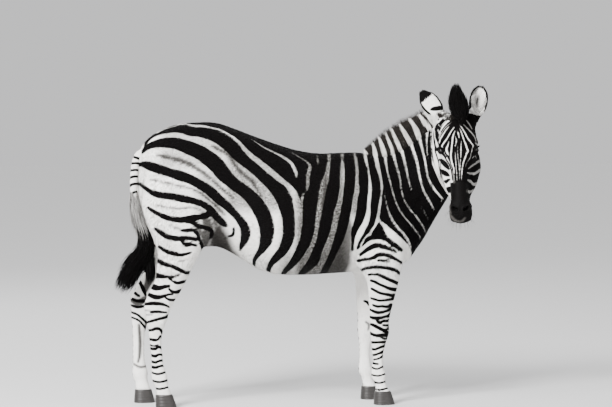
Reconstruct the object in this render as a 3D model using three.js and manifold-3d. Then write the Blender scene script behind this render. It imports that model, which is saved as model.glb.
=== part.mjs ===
// A life-size standing plains zebra, still, with its head turned to its right.
// Millimetres, +Z up. The animal faces +X and its right side faces -Y. The floor is z = 0.
//
// The body is a union of lofts (trunk, neck, head, jaw, legs) and muscle masses, which thin cuts then
// divide into the parts that a person would name. Mane, tail and eyes are solids of their own.
import * as THREE from "three";
import { mergeVertices } from "three/addons/utils/BufferGeometryUtils.js";
import Module from "manifold-3d";

const wasm = await Module();
wasm.setup();

// ---- Driving dimensions -----------------------------------------------------------------------
const WITHERS_HEIGHT = 1260;
const HEAD_LENGTH = 560;
const EYE_RADIUS = 20;
const EAR_LENGTH = 162;
const GAP = 0.35; // clearance between neighbouring parts
const CENTRE = new THREE.Vector3(-8.4, -68.4, 0); // middle of the body's box, moved to the origin

// Head pose: the poll's place, and the turn, nod and lean of the face, in degrees.
const POLL = new THREE.Vector3(748, -252, 1461);
const HEAD_YAW = -11;
const HEAD_PITCH = 22;
const HEAD_ROLL = -2.3;

// How far the left legs stand behind the right ones: at the floor, at the hock or knee, and at the top.
const BACK_LEVELS = [0, 500, 900];
const LEFT_FORE_BACK = [28, 22, 10];
const LEFT_HIND_BACK = [86, 50, 20];

// Levels at which the legs are parted, from the floor up.
const CORONET = 64;
const FETLOCK_TOP = 178;
const FORE = { belowKnee: 305, aboveKnee: 408, top: 640 };
const HIND = { belowHock: 398, aboveHock: 566, top: 768, thighTop: 955 };

const COLOURS = {
  coat: new THREE.MeshStandardMaterial({ color: 0x8f8c87, roughness: 0.85, metalness: 0 }),
  mane: new THREE.MeshStandardMaterial({ color: 0x5a5653, roughness: 0.9, metalness: 0 }),
  tassel: new THREE.MeshStandardMaterial({ color: 0x1c1a19, roughness: 0.8, metalness: 0 }),
  muzzle: new THREE.MeshStandardMaterial({ color: 0x1f1d1c, roughness: 0.7, metalness: 0 }),
  hoof: new THREE.MeshStandardMaterial({ color: 0x2c2927, roughness: 0.45, metalness: 0 }),
  eye: new THREE.MeshStandardMaterial({ color: 0x120c08, roughness: 0.08, metalness: 0 }),
};

// ---- Solids -------------------------------------------------------------------------------------
function solidOf(geometry) {
  geometry.deleteAttribute("normal");
  geometry.deleteAttribute("uv");
  const merged = mergeVertices(geometry, 1e-3);
  return new wasm.Manifold(
    new wasm.Mesh({
      numProp: 3,
      vertProperties: merged.attributes.position.array,
      triVerts: new Uint32Array(merged.index.array),
    }),
  );
}

const union = (solids) => solids.reduce((a, b) => a.add(b));

// A point of a section: two half superellipses that meet at the widest line.
function onSection(section, angle, reach, grow) {
  const bend = (value) => Math.sign(value) * Math.abs(value) ** (2 / section.power);
  const side = bend(Math.cos(angle)) * (section.half + grow) * reach;
  const rise = bend(Math.sin(angle)) * reach;
  const height = rise * ((rise > 0 ? section.top : section.bottom) + grow);
  return section.at
    .clone()
    .addScaledVector(section.side, side)
    .addScaledVector(section.up, height);
}

// A closed loft: a capped cylinder whose rings are moved on to the sections along a table of stations.
function loft(stations, sectionOf, { segments = 16, rings = stations.length - 1, grow = 0 } = {}) {
  const width = stations[0].length;
  const steps = stations.map((_, i) => i);
  const table = new THREE.CubicInterpolant(steps, stations.flat(), width, new Float64Array(width));
  const place = (share) => [...table.evaluate(share * (stations.length - 1))];
  const geometry = new THREE.CylinderGeometry(1, 1, 1, segments, rings, false);
  const sectionAt = (share) => sectionOf(place(share), place, share);
  const sections = Array.from({ length: rings + 1 }, (_, i) => sectionAt(i / rings));
  const position = geometry.attributes.position;
  for (let i = 0; i < position.count; i++) {
    const ring = Math.round((0.5 - position.getY(i)) * rings);
    const reach = Math.min(1, Math.hypot(position.getX(i), position.getZ(i)));
    const angle = Math.atan2(position.getX(i), position.getZ(i));
    const point = onSection(sections[ring], reach < 0.5 ? 0 : angle, reach < 0.5 ? 0 : 1, grow);
    position.setXYZ(i, point.x, point.y, point.z);
  }
  const solid = solidOf(geometry);
  return solid.volume() < 0 ? solidOf(turned(geometry)) : solid;
}

// The same surface with each face turned round.
function turned(geometry) {
  const index = geometry.index.array;
  for (let i = 0; i < index.length; i += 3) [index[i + 1], index[i + 2]] = [index[i + 2], index[i + 1]];
  return geometry;
}

// An ellipsoid: centre, radii and a turn in degrees about Y, within an optional frame.
function mass(centre, radii, { turn = 0, frame = null, grow = 0, segments = 12 } = {}) {
  const geometry = new THREE.SphereGeometry(1, segments, Math.round(segments * 0.6));
  geometry.scale(...radii.map((r) => r + grow));
  geometry.rotateY(THREE.MathUtils.degToRad(turn));
  geometry.translate(...centre);
  if (frame) geometry.applyMatrix4(frame);
  return solidOf(geometry);
}

// A prism: an outline of [across, up] points, extruded along the third axis from one depth to another.
function prism(outline, from, to, frame, grow = 0) {
  const corners = outline.map(([x, z]) => new THREE.Vector2(x, z));
  const middle = corners.reduce((a, p) => a.add(p), new THREE.Vector2()).divideScalar(corners.length);
  const moved = corners.map((p) => {
    const reach = p.clone().sub(middle);
    return p.clone().add(reach.setLength(grow * Math.SQRT2));
  });
  const geometry = new THREE.ExtrudeGeometry(new THREE.Shape(moved), {
    depth: to - from + 2 * grow,
    bevelEnabled: false,
  });
  geometry.translate(0, 0, from - grow);
  geometry.applyMatrix4(frame);
  return solidOf(geometry);
}

// ---- Frames -------------------------------------------------------------------------------------
const X = new THREE.Vector3(1, 0, 0);
const Y = new THREE.Vector3(0, 1, 0);
const Z = new THREE.Vector3(0, 0, 1);

// Side elevation: outline points are [x, z], and depth runs along +Y.
const ELEVATION = new THREE.Matrix4().makeBasis(X, Z, Y.clone().negate());
const elevation = (outline, yFrom, yTo, grow) => prism(outline, -yTo, -yFrom, ELEVATION, grow);

// Head frame: left along the animal's left, out along the face's normal, down from poll to nose.
const HEAD = new THREE.Matrix4()
  .makeTranslation(POLL)
  .multiply(new THREE.Matrix4().makeRotationZ(THREE.MathUtils.degToRad(HEAD_YAW)))
  .multiply(new THREE.Matrix4().makeRotationX(THREE.MathUtils.degToRad(-HEAD_PITCH)))
  .multiply(new THREE.Matrix4().makeRotationY(THREE.MathUtils.degToRad(HEAD_ROLL)))
  .multiply(new THREE.Matrix4().makeScale(1, -1, -1));
const onHead = (left, out, down) => new THREE.Vector3(left, out, down).applyMatrix4(HEAD);
const alongHead = (left, out, down) => new THREE.Vector3(left, out, down).transformDirection(HEAD);

// ---- Trunk --------------------------------------------------------------------------------------
// x, top, bottom, half width, height of the widest line, squareness.
const TRUNK = [
  [-808, 1232, 1040, 48, 1140, 2.0],
  [-786, 1296, 950, 104, 1140, 2.0],
  [-748, 1337, 872, 164, 1138, 2.15],
  [-695, 1371, 830, 206, 1130, 2.2],
  [-620, 1400, 800, 236, 1120, 2.2],
  [-520, 1411, 782, 248, 1105, 2.15],
  [-420, 1405, 786, 252, 1080, 2.1],
  [-325, 1373, 742, 266, 1035, 2.1],
  [-225, 1335, 676, 288, 985, 2.15],
  [-125, 1299, 646, 300, 950, 2.2],
  [-20, 1267, 641, 300, 935, 2.2],
  [80, 1252, 643, 288, 935, 2.15],
  [170, 1255, 648, 264, 940, 2.1],
  [250, WITHERS_HEIGHT - 2, 652, 236, 945, 2.0],
  [325, WITHERS_HEIGHT - 6, 660, 208, 945, 1.95],
  [400, 1225, 670, 188, 930, 2.0],
  [475, 1120, 682, 166, 900, 2.1],
  [535, 1010, 700, 132, 860, 2.1],
  [572, 930, 736, 74, 835, 2.1],
];

function trunk(grow) {
  const section = ([x, top, bottom, half, wide, power]) => ({
    at: new THREE.Vector3(x, 0, wide),
    up: Z,
    side: Y,
    top: top - wide,
    bottom: wide - bottom,
    half,
    power,
  });
  return loft(TRUNK, section, { segments: 20, grow });
}

// ---- Neck ---------------------------------------------------------------------------------------
// Crest x and z, throat x and z, sideways place, half width, share of the depth at the widest line.
const NECK = [
  [250, 1205, 470, 730, 0, 180, 0.5],
  [352, 1238, 560, 738, 0, 160, 0.48],
  [428, 1238, 622, 806, -7, 136, 0.46],
  [484, 1262, 658, 876, -24, 116, 0.45],
  [536, 1293, 690, 942, -50, 102, 0.45],
  [586, 1332, 716, 998, -86, 93, 0.46],
  [636, 1376, 736, 1052, -128, 88, 0.48],
  [682, 1414, 748, 1106, -178, 84, 0.5],
  [714, 1430, 752, 1158, -232, 76, 0.5],
];

function neckCentre([crestX, crestZ, throatX, throatZ, y, , wide]) {
  return new THREE.Vector3(
    THREE.MathUtils.lerp(throatX, crestX, wide),
    y,
    THREE.MathUtils.lerp(throatZ, crestZ, wide),
  );
}

function neck(grow) {
  const look = 0.02;
  const section = (row, place, share) => {
    const [crestX, crestZ, throatX, throatZ, , half, wide] = row;
    const up = new THREE.Vector3(crestX - throatX, 0, crestZ - throatZ);
    const depth = up.length();
    up.normalize();
    const ahead = neckCentre(place(Math.min(1, share + look)));
    const behind = neckCentre(place(Math.max(0, share - look)));
    const along = ahead.sub(behind).normalize();
    const side = new THREE.Vector3().crossVectors(up, along).normalize();
    return {
      at: neckCentre(row),
      up,
      side,
      top: depth * (1 - wide),
      bottom: depth * wide,
      half,
      power: 2,
    };
  };
  return loft(NECK, section, { segments: 16, rings: 9, grow });
}

// ---- Head ---------------------------------------------------------------------------------------
// Down the face, front, back, half width, place of the widest line, squareness.
const SKULL = [
  [-14, -44, -120, 46, -84, 2.0],
  [14, -14, -150, 74, -84, 2.1],
  [60, 3, -165, 90, -80, 2.2],
  [155, 11, -168, 99, -66, 2.3],
  [188, 8, -165, 95, -66, 2.3],
  [225, 5, -160, 84, -66, 2.3],
  [275, 2, -152, 66, -68, 2.2],
  [330, 0, -140, 53, -66, 2.2],
  [390, 0, -128, 47, -62, 2.2],
  [440, -1, -112, 50, -58, 2.2],
  [512, -10, -98, 61, -54, 2.2],
  [538, -22, -92, 54, -56, 2.2],
  [HEAD_LENGTH - 2, -40, -78, 30, -60, 2.0],
];

// The lower jaw, from its angle to the chin, in the same columns.
const JAW = [
  [92, -120, -196, 50, -160, 2.0],
  [165, -60, -244, 98, -146, 2.2],
  [215, -50, -248, 106, -140, 2.2],
  [265, -50, -236, 108, -130, 2.2],
  [350, -50, -188, 84, -110, 2.2],
  [398, -50, -164, 58, -102, 2.2],
  [450, -52, -146, 48, -96, 2.2],
  [495, -58, -134, 45, -94, 2.1],
  [522, -68, -126, 36, -96, 2.0],
  [538, -80, -114, 20, -98, 2.0],
];

function headLoft(stations, grow) {
  const section = ([down, front, back, half, wide, power]) => ({
    at: onHead(0, wide, down),
    up: alongHead(0, 1, 0),
    side: alongHead(1, 0, 0),
    top: front - wide,
    bottom: wide - back,
    half,
    power,
  });
  return loft(stations, section, { segments: 15, grow });
}

// Centre and radii of the paired masses of the head: left, out, down.
const HEAD_PAIRS = [
  [[64, -52, 150], [42, 40, 42]], // brow over the eye
  [[30, -44, 492], [31, 32, 40]], // nostril
  [[62, -66, 26], [42, 46, 46]], // base of the ear
];
const HEAD_MIDDLE = [
  [[0, -98, 520], [38, 30, 32]], // chin
  [[0, -92, 14], [60, 62, 44]], // poll
];

function head(grow) {
  const pairs = HEAD_PAIRS.flatMap(([[left, out, down], radii]) =>
    [-1, 1].map((s) => mass([s * left, out, down], radii, { frame: HEAD, grow, segments: 8 })),
  );
  const middle = HEAD_MIDDLE.map(([centre, radii]) =>
    mass(centre, radii, { frame: HEAD, grow, segments: 8 }),
  );
  return union([headLoft(SKULL, grow), headLoft(JAW, grow), ...pairs, ...middle]);
}

// ---- Legs ---------------------------------------------------------------------------------------
// Height, rear, front, sideways place, half width, share of the length at the widest line.
const FORELEG = [
  [930, 350, 470, 96, 34, 0.5],
  [850, 308, 498, 114, 56, 0.5],
  [765, 284, 510, 127, 66, 0.5],
  [705, 268, 500, 134, 66, 0.5],
  [660, 290, 488, 134, 62, 0.55],
  [612, 314, 480, 133, 57, 0.55],
  [510, 325, 454, 129, 45, 0.55],
  [424, 330, 434, 126, 39, 0.52],
  [388, 331, 433, 125, 42, 0.5],
  [348, 332, 430, 124, 42, 0.5],
  [312, 337, 420, 124, 35, 0.5],
  [268, 341, 409, 123, 27, 0.5],
  [216, 343, 405, 123, 25, 0.5],
  [172, 339, 410, 122, 31, 0.5],
  [142, 338, 416, 122, 34, 0.5],
  [108, 354, 418, 122, 29, 0.5],
  [82, 360, 428, 122, 33, 0.5],
  [60, 358, 442, 122, 41, 0.45],
  [30, 356, 452, 122, 43, 0.42],
  [0, 354, 461, 122, 46, 0.42],
];

const HINDLEG = [
  [1240, -730, -560, 84, 44, 0.5],
  [1170, -780, -500, 102, 74, 0.5],
  [1085, -800, -470, 118, 92, 0.52],
  [1000, -806, -428, 128, 104, 0.55],
  [930, -788, -424, 134, 106, 0.56],
  [868, -764, -446, 138, 100, 0.56],
  [815, -743, -484, 138, 88, 0.57],
  [765, -730, -516, 136, 76, 0.58],
  [665, -733, -567, 132, 58, 0.62],
  [615, -753, -590, 130, 50, 0.64],
  [575, -775, -612, 129, 44, 0.62],
  [505, -795, -654, 127, 42, 0.56],
  [465, -790, -669, 127, 41, 0.55],
  [425, -785, -680, 127, 37, 0.55],
  [388, -778, -696, 127, 31, 0.52],
  [335, -772, -704, 127, 27, 0.5],
  [262, -765, -700, 127, 26, 0.5],
  [212, -763, -694, 127, 28, 0.5],
  [172, -762, -682, 127, 33, 0.5],
  [142, -760, -676, 127, 34, 0.5],
  [110, -746, -672, 127, 29, 0.5],
  [84, -738, -662, 127, 32, 0.5],
  [60, -738, -652, 127, 37, 0.45],
  [30, -738, -641, 127, 40, 0.42],
  [0, -738, -632, 127, 43, 0.42],
];

function leg(stations, side, backs, grow) {
  const backTable = new THREE.LinearInterpolant(BACK_LEVELS, backs, 1, new Float64Array(1));
  const section = ([z, rear, front, y, half, wide]) => {
    const x = THREE.MathUtils.lerp(rear, front, wide);
    const [back] = backTable.evaluate(z);
    return {
      at: new THREE.Vector3(x - back, side * y, z),
      up: X,
      side: Y,
      top: front - x,
      bottom: x - rear,
      half,
      power: z < CORONET ? 2.3 : 2,
    };
  };
  return loft(stations, section, { segments: 10, grow });
}

// ---- Muscle masses on both sides of the trunk ----------------------------------------------------
const BODY_PAIRS = [
  [[418, 106, 850], [142, 84, 100], -28], // upper arm
];

function body(grow) {
  const pairs = BODY_PAIRS.flatMap(([[x, y, z], radii, turn]) =>
    [-1, 1].map((s) => mass([x, s * y, z], radii, { turn, grow })),
  );
  return union([
    trunk(grow),
    neck(grow),
    head(grow),
    ...pairs,
    leg(FORELEG, -1, [0, 0, 0], grow),
    leg(FORELEG, 1, LEFT_FORE_BACK, grow),
    leg(HINDLEG, -1, [0, 0, 0], grow),
    leg(HINDLEG, 1, LEFT_HIND_BACK, grow),
  ]);
}

// ---- Ears ---------------------------------------------------------------------------------------
// Share of the length, half width, thickness in front of and behind the middle.
const EAR = [
  [-0.1, 20, 14, 16],
  [0.08, 28, 18, 24],
  [0.25, 36, 16, 26],
  [0.45, 40, 10, 24],
  [0.65, 38, 6, 20],
  [0.82, 28, 4, 14],
  [0.94, 15, 3, 9],
  [1.0, 5, 2, 4],
];
const EAR_WALL = 7;

// An ear's frame stands at its root, with its tip along z and its opening along y.
function earFrame(left, out, down, tipward, opening) {
  const tip = new THREE.Vector3(...tipward).normalize();
  const side = new THREE.Vector3(...opening).cross(tip).normalize();
  const open = new THREE.Vector3().crossVectors(tip, side).normalize();
  return new THREE.Matrix4().makeBasis(side, open, tip).setPosition(onHead(left, out, down));
}

function earLoft(inner) {
  const wall = inner ? EAR_WALL : 0;
  const rows = inner ? EAR.slice(1, -1) : EAR;
  const section = ([share, half, front, back]) => ({
    at: new THREE.Vector3(0, inner ? 9 : 0, share * EAR_LENGTH + (inner ? 4 : 0)),
    up: Y,
    side: X,
    top: front + 2 * wall,
    bottom: Math.max(2, back - wall + 4),
    half: Math.max(3, half - wall * 0.8),
    power: 2,
  });
  return loft(rows, section, { segments: 12 });
}

const EARS = {
  ear_left: earFrame(92, -62, 14, [0.2, 0.16, 1], [0.05, -1, 0.1]),
  ear_right: earFrame(-76, -66, 0, [-0.62, 0.16, 0.8], [-0.1, 1, 0.2]),
};

function ear(frame) {
  const elements = frame.toArray();
  return earLoft(false).subtract(earLoft(true)).transform(elements);
}

// ---- Mane and forelock ---------------------------------------------------------------------------
// Foot x, y and z on the crest, how far the hair stands out forwards and upwards, half thickness.
const MANE = [
  [330, 0, 1240, -4, 22, 8],
  [372, 0, 1236, -12, 44, 14],
  [428, -7, 1238, -32, 84, 20],
  [484, -24, 1260, -42, 102, 22],
  [536, -50, 1290, -48, 108, 23],
  [586, -86, 1328, -46, 104, 23],
  [636, -128, 1370, -38, 96, 23],
  [680, -176, 1408, -26, 86, 24],
  [710, -222, 1432, -10, 92, 28],
  [730, -258, 1446, 0, 136, 38],
  [745, -286, 1440, 2, 136, 47],
  [753, -308, 1420, 2, 94, 42],
  [756, -322, 1402, 2, 50, 20],
];
const MANE_SUNK = 30; // how far the mane's foot starts inside the neck
const FORELOCK_START = -238; // the hair in front of this plane is the tuft between the ears

function mane() {
  const section = ([x, y, z, forward, upward, half], place, share) => {
    const up = new THREE.Vector3(forward, 0, upward);
    const height = up.length();
    up.normalize();
    const look = 0.03;
    const ahead = new THREE.Vector3(...place(Math.min(1, share + look)).slice(0, 3));
    const behind = new THREE.Vector3(...place(Math.max(0, share - look)).slice(0, 3));
    const side = new THREE.Vector3().crossVectors(up, ahead.sub(behind)).normalize();
    return {
      at: new THREE.Vector3(x, y, z).addScaledVector(up, -MANE_SUNK),
      up,
      side,
      top: height + MANE_SUNK,
      bottom: 10,
      half,
      power: 2.6,
    };
  };
  return loft(MANE, section, { segments: 10, rings: 15 });
}

// ---- Tail ---------------------------------------------------------------------------------------
// Centre x, y and z, half length fore and aft, half width.
const TAIL = [
  [-776, 0, 1262, 26, 26],
  [-806, 0, 1240, 27, 27],
  [-824, 0, 1195, 24, 26],
  [-832, 0, 1120, 22, 24],
  [-832, 0, 1050, 21, 24],
  [-826, 0, 1000, 24, 27],
  [-806, 0, 925, 30, 31],
  [-784, 0, 860, 34, 33],
  [-772, 0, 800, 42, 34],
  [-790, 0, 745, 50, 33],
  [-828, 0, 700, 50, 31],
  [-856, 0, 655, 46, 29],
  [-880, 0, 612, 38, 22],
  [-912, 0, 565, 14, 10],
];
const DOCK_END = 985;

function tail() {
  const look = 0.02;
  const section = ([x, y, z, reach, half], place, share) => {
    const ahead = new THREE.Vector3(...place(Math.min(1, share + look)).slice(0, 3));
    const behind = new THREE.Vector3(...place(Math.max(0, share - look)).slice(0, 3));
    const along = ahead.sub(behind).normalize();
    const up = new THREE.Vector3().crossVectors(Y, along).normalize();
    return { at: new THREE.Vector3(x, y, z), up, side: Y, top: reach, bottom: reach, half, power: 2 };
  };
  return loft(TAIL, section, { segments: 10 });
}

// ---- Eyes ---------------------------------------------------------------------------------------
const EYE_PLACE = [79, -48, 186]; // left, out, down
const eyeAt = (side, grow) =>
  mass([side * EYE_PLACE[0], EYE_PLACE[1], EYE_PLACE[2]], Array(3).fill(EYE_RADIUS), { frame: HEAD, grow });

// ---- Parting ------------------------------------------------------------------------------------
const slab = (xFrom, xTo, zFrom, zTo) => [
  [xFrom, zFrom],
  [xTo, zFrom],
  [xTo, zTo],
  [xFrom, zTo],
];

// The forequarters end along the front of the shoulder.
const SHOULDER_LINE = [
  [100, -50],
  [810, -50],
  [552, 720],
  [355, 1262],
  [250, 1600],
  [100, 1600],
];

// The cutters, in the order in which they take their part out of what is left of the body.
function cutters() {
  const headCut = (outline) => (grow) => {
    const frame = HEAD.clone().multiply(new THREE.Matrix4().makeBasis(Y, Z, X));
    return prism(outline, -126, 126, frame, grow);
  };
  const level = (outline, side) => (grow) =>
    side < 0 ? elevation(outline, -400, 0, grow) : elevation(outline, 0, 400, grow);
  const across = (outline) => (grow) => elevation(outline, -420, 420, grow);
  const earCut = (frame) => (grow) =>
    prism([[-90, -90], [90, -90], [90, 90], [-90, 90]], 26, 260, frame, grow);

  const list = [
    ["ear_left", earCut(EARS.ear_left), "coat"],
    ["ear_right", earCut(EARS.ear_right), "coat"],
    ["muzzle", headCut([[80, 398], [80, 640], [-165, 640], [-205, 380]]), "muzzle"],
    ["head", headCut([[80, -90], [80, 420], [-180, 420], [-268, 270], [-268, 128], [-62, -90]]), "coat"],
  ];
  for (const [name, side] of [["right", -1], ["left", 1]]) {
    const foreX = [230, 560];
    const hindX = [-860, -420];
    list.push(
      [`fore_hoof_${name}`, level(slab(...foreX, -50, CORONET), side), "hoof"],
      [`fore_pastern_${name}`, level(slab(...foreX, -50, FETLOCK_TOP), side), "coat"],
      [`fore_cannon_${name}`, level(slab(...foreX, -50, FORE.belowKnee), side), "coat"],
      [`knee_${name}`, level(slab(...foreX, -50, FORE.aboveKnee), side), "coat"],
      [`forearm_${name}`, level(slab(...foreX, -50, FORE.top), side), "coat"],
      [`hind_hoof_${name}`, level(slab(...hindX, -50, CORONET), side), "hoof"],
      [`hind_pastern_${name}`, level(slab(...hindX, -50, FETLOCK_TOP), side), "coat"],
      [`hind_cannon_${name}`, level(slab(...hindX, -50, HIND.belowHock), side), "coat"],
      [`hock_${name}`, level(slab(...hindX, -50, HIND.aboveHock), side), "coat"],
      [`gaskin_${name}`, level(slab(...hindX, -50, HIND.top), side), "coat"],
      [`thigh_${name}`, level(slab(-900, -360, -50, HIND.thighTop), side), "coat"],
    );
  }
  list.push(
    ["hindquarters", across(slab(-900, -330, -50, 1600)), "coat"],
    ["barrel", across(slab(-900, 190, -50, 1600)), "coat"],
    ["forequarters", across(SHOULDER_LINE), "coat"],
    ["neck_base", across([[100, 500], [1000, 200], [560, 1160], [440, 1700], [100, 1700]]), "coat"],
    ["neck_top", across(slab(100, 1100, 500, 1700)), "coat"],
  );
  return list;
}

const zebra = new THREE.Group();

function addPart(name, solid, material) {
  const { vertProperties, triVerts, numProp } = solid.getMesh();
  const places = new Float32Array((vertProperties.length / numProp) * 3);
  for (let i = 0; i < places.length / 3; i++) {
    places.set(vertProperties.subarray(i * numProp, i * numProp + 3), i * 3);
  }
  const geometry = new THREE.BufferGeometry();
  geometry.setAttribute("position", new THREE.BufferAttribute(places, 3));
  geometry.setIndex(new THREE.BufferAttribute(triVerts, 1));
  geometry.computeBoundingBox();
  const centre = geometry.boundingBox.getCenter(new THREE.Vector3()).round();
  geometry.translate(-centre.x, -centre.y, -centre.z);
  const mesh = new THREE.Mesh(geometry, COLOURS[material]);
  mesh.name = name;
  mesh.position.copy(centre).sub(CENTRE);
  zebra.add(mesh);
}

// The largest of a solid's separate bodies, which leaves slivers of a cut out.
const largest = (solid) =>
  solid.decompose().reduce((a, b) => (b.volume() > a.volume() ? b : a));

const whole = body(0);
const wide = body(GAP * 2);
let rest = union([whole, ...Object.values(EARS).map(ear)]);
for (const side of [-1, 1]) rest = rest.subtract(eyeAt(side, GAP));

for (const [name, cutter, material] of cutters()) {
  const solid = largest(rest.intersect(cutter(0)));
  rest = rest.subtract(cutter(GAP));
  addPart(name, solid, material);
}

addPart("eye_right", eyeAt(-1, 0), "eye");
addPart("eye_left", eyeAt(1, 0), "eye");

const clearOfEars = union(Object.values(EARS).map((frame) => ear(frame)));
const hair = mane().subtract(wide).subtract(clearOfEars);
const frontBox = (grow) => elevation(slab(500, 1000, 1200, 1700), -500, FORELOCK_START, grow);
addPart("mane", largest(hair.subtract(frontBox(GAP))), "mane");
addPart("forelock", largest(hair.intersect(frontBox(0))), "mane");

const freeTail = largest(tail().subtract(wide));
const dockBox = (grow) => elevation(slab(-1100, -600, DOCK_END, 1500), -100, 100, grow);
addPart("tail_dock", largest(freeTail.intersect(dockBox(0))), "coat");
addPart("tail_tassel", largest(freeTail.subtract(dockBox(GAP))), "tassel");

export default zebra;
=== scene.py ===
# %% [markdown]
# # A standing plains zebra, life size
# A museum shows an animal like this as a still model: one closed skin over the body, a coat set
# into it hair by hair, glass eyes and horn hooves. The script builds it in that order. Lengths are
# in millimetres while a shape is worked out, because an animal is measured that way, and become
# metres on the way into Blender.

import math

import bmesh
import bpy
import numpy as np
from mathutils import Matrix, Vector


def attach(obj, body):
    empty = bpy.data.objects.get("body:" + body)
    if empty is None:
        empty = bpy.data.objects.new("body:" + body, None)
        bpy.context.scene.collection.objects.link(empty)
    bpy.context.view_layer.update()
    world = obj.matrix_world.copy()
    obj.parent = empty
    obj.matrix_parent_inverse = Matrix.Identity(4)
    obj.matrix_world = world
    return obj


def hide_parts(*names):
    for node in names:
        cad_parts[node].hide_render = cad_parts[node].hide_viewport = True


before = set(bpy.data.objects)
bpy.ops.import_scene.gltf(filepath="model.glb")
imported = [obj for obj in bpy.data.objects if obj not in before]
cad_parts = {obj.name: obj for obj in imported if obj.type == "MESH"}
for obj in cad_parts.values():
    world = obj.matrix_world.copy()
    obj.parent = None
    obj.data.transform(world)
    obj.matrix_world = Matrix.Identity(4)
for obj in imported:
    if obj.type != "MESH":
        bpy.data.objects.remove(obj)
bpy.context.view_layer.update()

ANIMAL_CENTRE = np.array([-8.4, -68.4, 0.0])  # where the origin lies in the animal's own plan
rng = np.random.default_rng(7)


def to_metres(plan):
    """Points of the animal's plan, in millimetres, as places in the model, in metres."""
    return (np.asarray(plan, float) - ANIMAL_CENTRE) / 1000


def to_plan(places):
    """Places in the model, in metres, as points of the plan, in millimetres."""
    return np.asarray(places, float) * 1000 + ANIMAL_CENTRE


# %% [markdown]
# ## The camera
# The animal is looked at from its right side, from eight degrees behind square and a little above.
# A long lens keeps the near and far legs the same size, as when an animal is watched from afar.
# The camera comes first, so that each step can be looked at as it is made.

# %% Camera
VIEW_AZIMUTH, VIEW_HEIGHT = math.radians(-8), math.radians(3)
VIEW_DISTANCE = 15.3
AIM_PLAN = np.array([30.0, 0.0, 1000.0])  # the middle of the view, in the plan
AIM = Vector(to_metres(AIM_PLAN))
LENS, SENSOR = 180, 36  # millimetres

camera_data = bpy.data.cameras.new("long_lens")
camera_data.lens, camera_data.sensor_width = LENS, SENSOR
camera = bpy.data.objects.new("camera", camera_data)
bpy.context.scene.collection.objects.link(camera)
bpy.context.scene.camera = camera
towards_viewer = Vector(
    (
        math.sin(VIEW_AZIMUTH) * math.cos(VIEW_HEIGHT),
        -math.cos(VIEW_AZIMUTH) * math.cos(VIEW_HEIGHT),
        math.sin(VIEW_HEIGHT),
    )
)
camera.location = AIM + towards_viewer * VIEW_DISTANCE
camera.rotation_mode = "QUATERNION"
camera.rotation_quaternion = (-towards_viewer).to_track_quat("-Z", "Y")
camera_data.clip_end = 100
print("camera at", [round(v, 2) for v in camera.location])

# %% [markdown]
# ## Tables of sections
# A body is like a boat: its shape is given by sections at stations along its length. Each row
# below is one station, measured on the animal, and a smooth curve fills in between the rows. The
# sections are superellipses, which lie between an ellipse and a rounded box.

# %% Sections of the trunk and neck
# x, top, bottom, half width, height of the widest line, squareness
TRUNK = [
    [-808, 1232, 1040, 48, 1140, 2.0],
    [-786, 1296, 950, 104, 1140, 2.0],
    [-748, 1337, 872, 164, 1138, 2.15],
    [-695, 1371, 830, 206, 1130, 2.2],
    [-620, 1400, 800, 236, 1120, 2.2],
    [-520, 1411, 782, 248, 1105, 2.15],
    [-420, 1405, 786, 252, 1080, 2.1],
    [-325, 1373, 742, 266, 1035, 2.1],
    [-225, 1335, 676, 288, 985, 2.15],
    [-125, 1299, 646, 300, 950, 2.2],
    [-20, 1267, 641, 300, 935, 2.2],
    [80, 1252, 643, 288, 935, 2.15],
    [170, 1255, 648, 264, 940, 2.1],
    [250, 1258, 652, 236, 945, 2.0],
    [325, 1254, 660, 208, 945, 1.95],
    [400, 1225, 670, 188, 930, 2.0],
    [475, 1120, 682, 166, 900, 2.1],
    [535, 1010, 700, 132, 860, 2.1],
    [572, 930, 736, 74, 835, 2.1],
]
# crest x and z, throat x and z, sideways place, half width, share of the depth at the widest line
NECK = [
    [250, 1205, 470, 730, 0, 180, 0.5],
    [352, 1238, 560, 738, 0, 160, 0.48],
    [428, 1238, 622, 806, -7, 136, 0.46],
    [484, 1262, 658, 876, -24, 116, 0.45],
    [536, 1293, 690, 942, -50, 102, 0.45],
    [586, 1332, 716, 998, -86, 93, 0.46],
    [636, 1376, 736, 1052, -128, 88, 0.48],
    [682, 1414, 748, 1106, -178, 84, 0.5],
    [714, 1430, 752, 1158, -232, 76, 0.5],
]

# %% Sections of the head
# down the face, front, back, half width, place of the widest line, squareness
SKULL = [
    [-14, -44, -120, 46, -84, 2.0],
    [14, -14, -150, 74, -84, 2.1],
    [60, 3, -165, 90, -80, 2.2],
    [155, 11, -168, 99, -66, 2.3],
    [188, 8, -165, 95, -66, 2.3],
    [225, 5, -160, 84, -66, 2.3],
    [275, 2, -152, 66, -68, 2.2],
    [330, 0, -140, 53, -66, 2.2],
    [390, 0, -128, 47, -62, 2.2],
    [440, -1, -112, 50, -58, 2.2],
    [512, -10, -98, 61, -54, 2.2],
    [538, -22, -92, 54, -56, 2.2],
    [558, -40, -78, 30, -60, 2.0],
]
# the lower jaw, from its angle to the chin, in the same columns
JAW = [
    [92, -120, -196, 50, -160, 2.0],
    [165, -60, -244, 98, -146, 2.2],
    [215, -50, -248, 106, -140, 2.2],
    [265, -50, -236, 108, -130, 2.2],
    [350, -50, -188, 84, -110, 2.2],
    [398, -50, -164, 58, -102, 2.2],
    [450, -52, -146, 48, -96, 2.2],
    [495, -58, -134, 45, -94, 2.1],
    [522, -68, -126, 36, -96, 2.0],
    [538, -80, -114, 20, -98, 2.0],
]
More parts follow.
